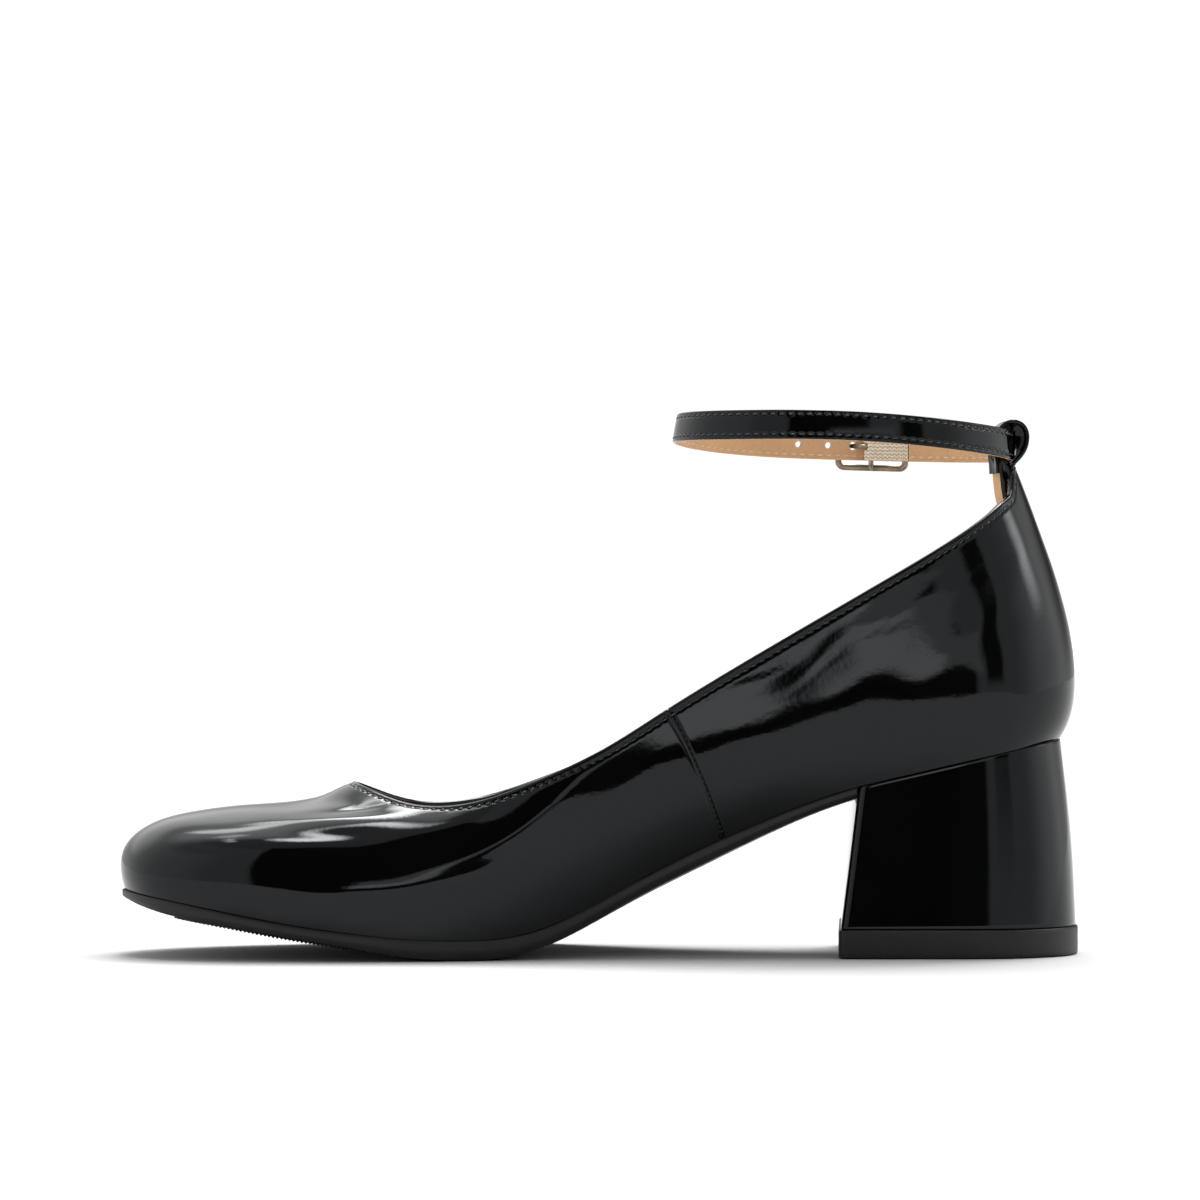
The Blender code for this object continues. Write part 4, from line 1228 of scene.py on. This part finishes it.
def heel_outline(front, back, medial, lateral):
    """Flat breast with round corners, straight sides and a round back, as x and y round the heel."""
    turn = np.linspace(0.0, math.pi / 2, 10)
    bend = np.linspace(0.0, math.pi, 91)
    power = 2 / HEEL_ROUND_POWER
    reach = np.abs(np.sin(bend)) ** power
    across = squared(np.cos(bend), power)
    sides = np.linspace(front + HEEL_CORNER, HEEL_SIDE_END, 16)[1:-1]
    corner = front + HEEL_CORNER * (1 - np.cos(turn))
    near = HEEL_CORNER * (1 - np.sin(turn))
    back_x = HEEL_SIDE_END + (back - HEEL_SIDE_END) * reach
    x = np.concatenate([corner, sides, back_x, sides[::-1], corner[::-1]])
    y = np.concatenate([medial + near, np.full_like(sides, medial),
                        0.5 * (medial + lateral) - 0.5 * (lateral - medial) * across,
                        np.full_like(sides, lateral), (lateral - near)[::-1]])
    return x, y


def breast_twist(x, y, front, back):
    """How far the heel's foot is turned on at its breast, the medial corner forwards."""
    return BREAST_TWIST * y * (back - x) / (back - front)


HEEL_ROWS = 36


def build_heel(size):
    """The gloss heel block, its seat cut to the sole's rise."""
    foot = size["lift"] + SEAT_GAP
    rings = []
    for down in np.linspace(0.0, 1.0, HEEL_ROWS + 1):
        back = float(HEEL_BACK_LINE(np.array(down))[0])
        front, medial, lateral = [side.seat + (side.foot - side.seat) * down for side in HEEL_SIDES.values()]
        x, y = heel_outline(front, back, medial, lateral)
        x = x + breast_twist(x, y, front, back) * down
        seat = feather_height(x) - SEAT_GAP
        rings.append(np.stack([x, y, seat + (foot - seat) * down], -1))
    piece = lay_rings("covered_heel", rings)
    apply_modifier(piece, "BEVEL", "edges", width=size["heel_edge"] * MM, segments=4, limit_method="ANGLE",
                   angle_limit=math.radians(40.0))
    return finished(piece, 50.0, "heel")


# The top lift's side from the floor up, for a lift of the last height: how far it shrinks from its full
# outline
LIFT_PROFILE = table("height shrink", (
    (0.0, 0.55), (0.1, 0.3), (0.3, 0.1), (0.6, 0.0), (1.5, 0.0), (3.5, 0.0), (5.5, 0.0), (6.5, 0.0),
    (6.8, 0.08), (6.95, 0.2), (7.0, 0.35),
))


def build_top_lift(size):
    """The rubber top lift under the heel, with eased edges."""
    breast, medial, lateral = [side.foot for side in HEEL_SIDES.values()]
    rings = []
    for height, shrink in LIFT_PROFILE:
        grow = size["lift_proud"] - shrink
        front = breast - grow
        back = HEEL_BACK[-1].x + grow
        x, y = heel_outline(front, back, medial - grow, lateral + grow)
        x = x + breast_twist(x, y, front, back)
        rings.append(np.stack([x, y, np.full_like(x, height * size["lift"] / LIFT_PROFILE[-1].height)], -1))
    return finished(lay_rings("rubber_top_lift", rings), 50.0, "lift")


# The strap, its loop and its buckle

def strip(name, centre, face, upward, section, widths, finish_of=None, pucker=None):
    """A strip: its section, as out and up, at each place of a path, its face pulled in by a pucker."""
    section = np.asarray(section)
    count = len(section)

    def place(column, row):
        out, up = section[row % count].T
        if pucker is not None:
            out = out - np.where(out > 0.0, pucker(column, up), 0.0)
        return centre[column] + face[column] * out[:, None] + upward[column] * (up * widths[column])[:, None]

    return lay_sheet(name, len(centre) - 1, count, place, finish_of)


SEWN_WIDTH = 0.9
THREAD_SINK = 0.22
PUNCH_DEPTH = 5.0
PUCKER = 0.24
PUCKER_WIDTH = 0.4


def strap_path():
    """Places along the strap's middle with the way out of its face, and how wide it is there."""
    stop = RING_LENGTH + STRAP_TAIL
    tip = stop - STRAP_TIP * (1 - np.sin(np.linspace(0.05, math.pi / 2, 18)))
    along = np.concatenate([np.linspace(STRAP_START, stop - STRAP_TIP, 760), tip])
    behind_bar = along - RING_LENGTH
    weave = WEAVE_LINE(np.clip(behind_bar, WEAVE[0].along, WEAVE[-1].along))[:, 0]
    out = np.where(behind_bar > WEAVE[0].along, weave, 0.0)
    place, _, outward, upward = ring_frame(along)
    centre = place + outward * out[:, None]
    face = unit(np.cross(upward, unit(np.gradient(centre, axis=0))))
    from_tip = np.clip((stop - along) / STRAP_TIP, 0.0, 1.0)
    widths = 0.3 + 0.7 * np.sqrt(1 - (1 - from_tip) ** 2)
    return behind_bar, centre, face, upward, widths


def strap_row(size):
    """How far a stitch row lies from the strap's middle."""
    return 0.5 * size["strap_width"] - size["strap_row"]


def strap_section(size):
    """Section of the strap as out and up, from its grooved face over a folded edge, and its patent's end."""
    half = 0.5 * size["strap_width"]
    thick = 0.5 * size["strap"]
    edge = 0.4
    up = np.linspace(edge - half, half - edge, 33)
    groove = bell(np.abs(up) - strap_row(size), 0.35)
    face = [(thick - 0.12 * (value / half) ** 2 - 0.05 * dip, value) for value, dip in zip(up, groove)]
    turn = np.radians((18.0, 36.0, 54.0, 72.0, 90.0))
    top_edge = [(thick - edge - 0.1 + edge * math.cos(a), half - edge + edge * math.sin(a)) for a in turn]
    lining = [(0.12, half - 0.06), (-0.25, half), (-0.55, half - 0.05), (0.08 - thick, half - 0.2),
              (-thick, half - 0.45)]
    upper_half = face[len(face) // 2:] + top_edge + lining
    middle = [(-thick, value) for value in np.linspace(half - 1.2, 1.2 - half, 9)]
    lower_half = [(out, -value) for out, value in upper_half[1:]]
    return upper_half + middle + lower_half[::-1], len(upper_half) - len(lining)


def drill(piece, spot, way, radius):
    """Punches a round hole through a piece."""
    punch = primitive("punch", bpy.ops.mesh.primitive_cylinder_add, vertices=28, radius=radius * MM,
                      depth=PUNCH_DEPTH * MM)
    way = unit(way)
    side = unit(np.cross(way, (0.3, 0.5, 0.8)))
    turned = points_of(punch) @ np.stack([side, np.cross(way, side), way])
    set_points(punch, turned + spot * MM)
    for material in piece.data.materials:
        punch.data.materials.append(material)
    return cut(piece, close_sheet(punch))


def build_strap(size):
    """The ankle strap: patent face with turned edges on a tan lining, with its holes punched through."""
    behind_bar, centre, face, upward, widths = strap_path()
    section, patent_end = strap_section(size)
    count = len(section)

    def finish_of(row):
        return np.where((row >= patent_end) & (row < count - patent_end), 1, 0)

    piece = strip("stitched_ankle_strap", centre, face, upward, section, widths, finish_of,
                  strap_pucker(size))
    dress(piece, "strap patent", "lining")
    holes = [(mark, size["strap_hole"]) for mark in HOLES_ALONG]
    holes.append((PRONG_HOLE_ALONG, size["prong_hole"]))
    for mark, radius in holes:
        drill(piece, on_line(mark, behind_bar, centre), on_line(mark, behind_bar, face), radius)
    return shade(piece, 40.0)


def strap_rows(size, lining):
    """The two stitch rows of the strap, on its face or on its lining."""
    _, centre, face, upward, widths = strap_path()
    side = -1.0 if lining else 1.0
    out = side * 0.5 * size["strap"] - (0.0 if lining else THREAD_SINK)
    sewn = widths > SEWN_WIDTH
    lines = []
    for edge in (-1.0, 1.0):
        line = centre + face * out + upward * (edge * strap_row(size) * widths)[:, None]
        lines.append((line[sewn], face[sewn] * side))
    return lines


def strap_pucker(size):
    """The dimples that the stitches pull in the strap's face."""
    row = strap_row(size)
    sewn = strap_path()[-1] > SEWN_WIDTH
    pulls = []
    for line, _ in strap_rows(size, False):
        run = run_along(line)
        held = np.zeros(len(sewn))
        held[sewn] = pull(run, run, size["stitch_pitch"])
        pulls.append(held)

    def pucker(column, up):
        near = bell(np.abs(up) - row, PUCKER_WIDTH)
        return PUCKER * near * np.where(up < 0.0, pulls[0][column], pulls[1][column])

    return pucker


def soft_section(thick, width, edge, across):
    """Section of a flat strip with round edges, from the middle of its outer face round."""
    half = 0.5 * width
    face = [(0.5 * thick, value) for value in np.linspace(edge - half, half - edge, across)]
    turn = np.radians(np.linspace(90.0, -90.0, 7)[1:-1])
    top = [(0.5 * thick * math.sin(a), half - edge + edge * math.cos(a)) for a in turn]
    back = [(-out, up) for out, up in face[::-1]]
    bottom = [(-out, -up) for out, up in top]
    return face + top + back + bottom


def turn_points(radius, turn):
    start, stop, count = turn
    angles = np.radians(np.linspace(start, stop, count))
    return [(radius * math.cos(a), BAR_OUT + radius * math.sin(a)) for a in angles]


def ring_path(path, count):
    """A smooth path in the ring's own directions as places, ways out of its face and ways up."""
    curve, whole = open_spline(path)
    along, out = curve(np.linspace(0.0, whole, count)).T
    centre = ring_point(along, out)
    upward = ring_frame(along)[3]
    return centre, unit(np.cross(upward, np.gradient(centre, axis=0))), upward


def build_elastic(size):
    """The elastic between strap and buckle, folded round the bar and slit for the prong."""
    radius = size["bar_wire"] + FIT_GAP + 0.5 * size["elastic"]
    path = ELASTIC_WRAP + turn_points(radius, ELASTIC_TURN) + ELASTIC_LIP
    centre, face, upward = ring_path(path, 110)
    section = soft_section(size["elastic"], size["elastic_width"], 0.25, 25)
    piece = dress(strip("woven_elastic", centre, face, upward, section, np.ones(len(centre))), "elastic")
    place, run, outward, upward = ring_frame(np.array(0.0))
    half = size["prong_wire"] + FIT_GAP
    slit = primitive("prong slit", bpy.ops.mesh.primitive_cube_add, size=1.0)
    box = points_of(slit) * (2.2, 6.0, 2 * half) - (1.9, 0.0, 0.0)
    set_points(slit, (place + outward * BAR_OUT + box @ np.stack([run, outward, upward])) * MM)
    return shade(cut(piece, close_sheet(slit)), 40.0)


WIRE_SIDES = 18


def wire(name, path, radii, upward, flat=1.0, closed=False):
    """A round or flattened wire along a path."""
    count = len(path)
    if closed:
        run = unit(np.roll(path, -1, 0) - np.roll(path, 1, 0))
    else:
        run = unit(np.gradient(path, axis=0))
    across = unit(np.cross(run, upward))
    out = np.cross(across, run)
    turn = 2 * math.pi * np.arange(WIRE_SIDES) / WIRE_SIDES
    wide = squared(np.cos(turn), flat)
    high = squared(np.sin(turn), flat)

    def place(column, row):
        at = column % count
        k = row % WIRE_SIDES
        return path[at] + (across[at] * wide[k, None] + out[at] * high[k, None]) * radii[at][:, None]

    return lay_sheet(name, count if closed else count - 1, WIRE_SIDES, place, fill_ends=not closed)


def build_buckle(size):
    """The buckle's frame with its bar joined in."""
    half_long = 0.5 * FRAME_LENGTH - FRAME_CORNER
    half_high = 0.5 * FRAME_HEIGHT - FRAME_CORNER
    flat = []
    for way_x, way_z, start in ((1, 1, 0), (-1, 1, 90), (-1, -1, 180), (1, -1, 270)):
        for angle in np.radians(start + np.linspace(0.0, 90.0, 9)):
            flat.append((way_x * half_long + FRAME_CORNER * math.cos(angle),
                         way_z * half_high + FRAME_CORNER * math.sin(angle)))
    corners = np.array(flat + flat[:1])
    run = run_along(corners)
    even = np.linspace(0.0, run[-1], 141)[:-1]
    along = np.interp(even, run, corners[:, 0])
    up = np.interp(even, run, corners[:, 1])
    path = ring_point(along, np.full_like(along, FRAME_OUT), up)
    radii = np.full(len(path), size["frame_wire"])
    piece = wire("cast_buckle", path, radii, ring_frame(along)[2], 0.75, True)
    high = 0.5 * FRAME_HEIGHT
    bar_path = ((FRAME_OUT, -high), (2.3, 0.1 - high), (BAR_OUT, 0.7 - high), (BAR_OUT, 0.0),
                (BAR_OUT, high - 0.7), (2.3, high - 0.1), (FRAME_OUT, high))
    curve, whole = open_spline(bar_path)
    bar = curve(np.linspace(0.0, whole, 40))
    nothing = np.zeros(len(bar))
    line = ring_point(nothing, bar[:, 0], bar[:, 1])
    bar_piece = wire("buckle bar", line, np.full(len(line), size["bar_wire"]), ring_frame(nothing)[1])
    return finished(cut(piece, bar_piece, "UNION"), 45.0, "brass")


def build_prong(size):
    """The buckle's prong, curled round the bar and tapered to its tip."""
    radius = size["bar_wire"] + SEAT_GAP + 0.7 * size["prong_wire"]
    curve, whole = open_spline(turn_points(radius, PRONG_TURN) + PRONG_REACH)
    share = np.linspace(0.0, 1.0, 90)
    along, out = curve(share * whole).T
    path = ring_point(along, out)
    radii = size["prong_wire"] * (0.7 + 0.3 * ease((share - 0.2) / 0.15) - 0.75 * ease((share - 0.95) / 0.05))
    return finished(wire("buckle_tongue", path, radii, ring_frame(along)[3]), 45.0, "brass")


FACE_CELLS = 24


def folded_band(name, rows, spare):
    """A band of leather along a path in the middle plane, its edges rounded over a narrower filling."""
    curve, whole = open_spline([row[:2] for row in rows])
    at = np.linspace(0.0, whole, 120)
    fine = curve(at)
    held = Spline(curve.knots, [row[2:] for row in rows])(at)
    run = unit(np.gradient(fine, axis=0))
    way = np.stack([run[:, 1], -run[:, 0]], -1)
    face = [(0.0, 0.0, share, 0.35) for share in np.linspace(-1.0, 1.0, FACE_CELLS + 1)]
    edge = [(0.12, 0.0, 1.0, 0.1), (0.4, 0.0, 1.0, 0.0), (0.7, 0.0, 1.0, 0.06), (1.0, 0.0, 1.0, 0.3)]
    step = [(1.0, 0.15, 1.0, 0.6), (1.0, 1.0, 1.0, 0.6)]
    inside = [(1.0, 1.0, share, 0.6) for share in np.linspace(1.0, -1.0, 15)[1:-1]]
    mirrored = [(leather, filling, -share, inset) for leather, filling, share, inset in (edge + step)[::-1]]
    section = np.array(face + edge + step + inside + mirrored)

    def place(column, row):
        leather, filling, half, bow = held[column].T
        part, deep, share, inset = section[row % len(section)].T
        out = -part * leather - deep * np.maximum(filling, 0.0)
        across = share * (half - inset)
        x, z = (fine[column] + way[column] * out[:, None]).T
        return np.stack([x - bow * ((across - LOOP_BOW_MIDDLE) / half) ** 2, LOOP_MIDDLE + across, z], -1)

    def finish_of(row):
        return np.where(row < FACE_CELLS, spare, 0)

    return dress(lay_sheet(name, len(at) - 1, len(section), place, finish_of), "strap patent", "lining")


def build_loop():
    """The heel loop: patent round the strap, its inner end lying on a pad lined in tan."""
    pad = folded_band("loop pad", LOOP_PAD, 1)
    piece = folded_band("strap_heel_loop", LOOP, 0)
    only(piece)
    pad.select_set(True)
    bpy.ops.object.join()
    return shade(piece, 50.0)


# Stage

# What stands round the shoe, each laid over those before it: azimuth from +Y towards +X, its half width and
# soft edge, height above the floor, its half height and soft edge, all in degrees, and its brightness
STUDIO = table("azimuth half_width side_soft height half_height rise_soft brightness", {
    "ceiling": (0.0, 180.0, 1.0, 90.0, 27.0, 2.0, 0.36),
    "left wall": (-85.0, 45.0, 12.0, 22.0, 26.0, 6.0, 0.70),
    "back wall": (-20.0, 35.0, 12.0, 30.0, 12.0, 6.0, 1.1),
    "side glow": (82.0, 25.0, 15.0, 8.0, 16.0, 6.0, 0.95),
    "back glow": (-20.0, 50.0, 20.0, 66.0, 15.0, 9.0, 1.5),
    "back overhead": (22.0, 34.0, 4.0, 65.0, 17.0, 5.0, 12.0),
    "back left light": (-24.0, 12.0, 5.0, 57.0, 4.0, 3.0, 5.0),
    "strip light": (-80.0, 15.0, 3.0, 70.5, 1.3, 1.0, 4.5),
    "short strip light": (-47.0, 12.0, 4.0, 68.0, 2.5, 2.0, 4.0),
    "camera side": (184.0, 18.0, 2.0, 31.0, 35.0, 2.0, 0.02),
    "grey card": (167.0, 14.0, 2.0, 12.5, 5.5, 1.5, 0.75),
    "white card": (177.5, 5.0, 2.0, 9.6, 3.0, 1.0, 1.6),
    "low dark right": (166.0, 9.0, 2.0, 3.0, 4.5, 1.0, 0.03),
    "dark gap": (143.0, 7.0, 2.0, 15.0, 11.0, 3.0, 0.04),
    "heel side light": (84.0, 7.0, 6.0, 23.0, 4.0, 5.0, 4.2),
    "dark back": (26.0, 24.0, 14.0, 25.0, 20.0, 8.0, 0.06),
    "overhead": (0.0, 180.0, 1.0, 90.0, 7.0, 3.0, 14.0),
})


SEEN_WHITE = 1.05
FLOOR_SIZE = 30.0
FLOOR_DROP = 0.05


def studio_world(light):
    """White to the camera; to the shoe pale walls, dark openings and soft lights."""
    world = bpy.data.worlds.new("plain studio")
    world.use_nodes = True
    tree = world.node_tree
    start = Value(tree)
    way = start.node("ShaderNodeTexCoord", out="Generated")
    parts = start.node("ShaderNodeSeparateXYZ", None, {0: way})
    x, y, z = [parts.sibling(axis) for axis in "XYZ"]
    azimuth = start.maths("ARCTAN2", x, y) * (180.0 / math.pi)
    height = start.maths("ARCSINE", z) * (180.0 / math.pi)
    strength = light.walls
    for row in STUDIO.values():
        apart = start.maths("ABSOLUTE", start.maths("WRAP", azimuth - row.azimuth, 180.0, -180.0))
        above = start.maths("ABSOLUTE", height - row.height)
        cover = apart.ramp(row.half_width + row.side_soft, row.half_width - row.side_soft)
        cover = cover * above.ramp(row.half_height + row.rise_soft, row.half_height - row.rise_soft)
        strength = cover * row.brightness + (1 - cover) * strength
    seen = start.node("ShaderNodeLightPath", out="Is Camera Ray")
    strength = strength * light.level * (1 - seen) + seen * SEEN_WHITE
    shader = tree.nodes["Background"]
    shader.inputs["Color"].default_value = (1.0, 1.0, 1.0, 1.0)
    tree.links.new(strength.socket, shader.inputs["Strength"])
    bpy.context.scene.world = world


def build_floor(light):
    floor = primitive("studio_floor", bpy.ops.mesh.primitive_plane_add, size=FLOOR_SIZE,
                      location=(0.0, 0.0, -FLOOR_DROP * MM))
    bpy.ops.object.transform_apply()
    material, shader, place = new_material("pale floor")
    cloud = place.noise(3.0, 2.0)
    base = (*light.floor, 1.0)
    feed(shader, base_color=cloud.blend(scaled(base, 0.99), scaled(base, 1.01)), roughness=0.9,
         specular_ior_level=0.0)
    start = Value(material.node_tree)
    clear = start.node("ShaderNodeBsdfTransparent")
    below = start.node("ShaderNodeNewGeometry", out="Backfacing")
    lit = Value(start.tree, shader.outputs[0])
    surface = start.node("ShaderNodeMixShader", None, {0: below, 1: lit, 2: clear})
    start.tree.links.new(surface.socket, start.tree.nodes["Material Output"].inputs["Surface"])
    floor.data.materials.append(material)


CAMERA_PLACE = (0.0, -1300.0, 88.0)
CAMERA_LENS = 156.0


def build_camera():
    place = [value * MM for value in CAMERA_PLACE]
    bpy.ops.object.camera_add(location=place, rotation=(math.pi / 2, 0.0, 0.0))
    camera = bpy.context.active_object
    camera.name = "photo_camera"
    camera.data.lens = CAMERA_LENS
    camera.data.sensor_width = 36.0
    camera.data.clip_start = 0.01
    bpy.context.scene.camera = camera


# Operators

class SHOE_OT_upper(bpy.types.Operator):
    """Last the patent upper over its tan lining"""
    bl_idname = "shoe.upper"
    bl_label = "Upper"

    def execute(self, context):
        settle(build_upper(sizes()), "patent", "upper")
        return {"FINISHED"}


class SHOE_OT_upper_stitches(bpy.types.Operator):
    """Sew the topline, the side seam and the row that shows on the lining"""
    bl_idname = "shoe.upper_stitches"
    bl_label = "Upper stitches"

    def execute(self, context):
        size = sizes()
        outside = topline_stitches(size, ROW_DEPTH, 1.0)
        inside = topline_stitches(size, size["wall"], -1.0)
        rows = (("topline_stitches", outside, "stitch_pitch", "black thread", "patent"),
                ("seam_stitches", seam_stitches(size), "seam_pitch", "seam thread", "patent"),
                ("lining_stitches", inside, "stitch_pitch", "tan thread", "sock"))
        for name, line, pitch, thread, slot in rows:
            settle(dress(sew(name, [line], size[pitch], size["thread"]), thread), slot)
        return {"FINISHED"}


class SHOE_OT_outsole(bpy.types.Operator):
    """Mould the rubber sole with its ribbed tread"""
    bl_idname = "shoe.outsole"
    bl_label = "Outsole"

    def execute(self, context):
        settle(build_outsole(sizes()), "sole_rubber", "outsole")
        return {"FINISHED"}


class SHOE_OT_insole(bpy.types.Operator):
    """Lay the sock over the insole"""
    bl_idname = "shoe.insole"
    bl_label = "Insole"

    def execute(self, context):
        settle(build_insole(sizes()), "sock", "insole")
        return {"FINISHED"}


class SHOE_OT_heel(bpy.types.Operator):
    """Shape the gloss heel block and its rubber top lift"""
    bl_idname = "shoe.heel"
    bl_label = "Heel and top lift"

    def execute(self, context):
        size = sizes()
        settle(build_heel(size), "heel_gloss", "heel_block")
        settle(build_top_lift(size), "lift_rubber", "top_lift")
        return {"FINISHED"}


class SHOE_OT_strap(bpy.types.Operator):
    """Make the ankle strap with its holes and stitch rows"""
    bl_idname = "shoe.strap"
    bl_label = "Ankle strap"

    def execute(self, context):
        size = sizes()
        settle(build_strap(size), "patent", "ankle_strap")
        rows = (("strap_stitches", False, "black thread", "patent"),
                ("strap_lining_stitches", True, "tan thread", "sock"))
        for name, lining, thread, slot in rows:
            piece = sew(name, strap_rows(size, lining), size["stitch_pitch"], size["thread"])
            settle(dress(piece, thread), slot)
        return {"FINISHED"}


class SHOE_OT_loop(bpy.types.Operator):
    """Fold the heel loop round the strap"""
    bl_idname = "shoe.loop"
    bl_label = "Heel loop"

    def execute(self, context):
        settle(build_loop(), "patent", "heel_loop")
        return {"FINISHED"}


class SHOE_OT_buckle(bpy.types.Operator):
    """Fit the buckle, its prong and the elastic that holds it"""
    bl_idname = "shoe.buckle"
    bl_label = "Buckle and elastic"

    def execute(self, context):
        size = sizes()
        settle(build_elastic(size), "elastic", "elastic_gore")
        settle(build_buckle(size), "buckle_brass", "buckle_frame")
        settle(build_prong(size), "buckle_brass", "buckle_prong")
        return {"FINISHED"}


class SHOE_OT_stage(bpy.types.Operator):
    """Set the floor, the soft studio light and the camera"""
    bl_idname = "shoe.stage"
    bl_label = "Stage"

    def execute(self, context):
        light = context.scene.shoe_studio
        studio_world(light)
        build_floor(light)
        build_camera()
        context.scene.view_settings.view_transform = "Standard"
        return {"FINISHED"}


STEPS = (SHOE_OT_upper, SHOE_OT_upper_stitches, SHOE_OT_outsole, SHOE_OT_insole, SHOE_OT_heel, SHOE_OT_strap,
         SHOE_OT_loop, SHOE_OT_buckle, SHOE_OT_stage)


class SHOE_PT_workbench(bpy.types.Panel):
    """The shoe's pieces in the order that they are made"""
    bl_idname = "SHOE_PT_workbench"
    bl_label = "Block heel shoe"
    bl_space_type = "VIEW_3D"
    bl_region_type = "UI"
    bl_category = "Shoe"

    def draw(self, context):
        for step in STEPS:
            self.layout.operator(step.bl_idname)
        for group in ("shoe_sizes", "shoe_colours", "shoe_studio"):
            held = getattr(context.scene, group)
            box = self.layout.box()
            for name in held.__annotations__:
                box.prop(held, name)


GROUPS = {"shoe_sizes": ShoeSizes, "shoe_colours": ShoeColours, "shoe_studio": StudioLight}
CLASSES = (*GROUPS.values(), *STEPS, SHOE_PT_workbench)


def register():
    for item in CLASSES:
        bpy.utils.register_class(item)
    for name, group in GROUPS.items():
        setattr(bpy.types.Scene, name, bpy.props.PointerProperty(type=group))


def unregister():
    for name in GROUPS:
        delattr(bpy.types.Scene, name)
    for item in reversed(CLASSES):
        bpy.utils.unregister_class(item)


def main():
    register()
    for step in STEPS:
        family, verb = step.bl_idname.split(".")
        getattr(getattr(bpy.ops, family), verb)()


if __name__ == "__main__":
    main()
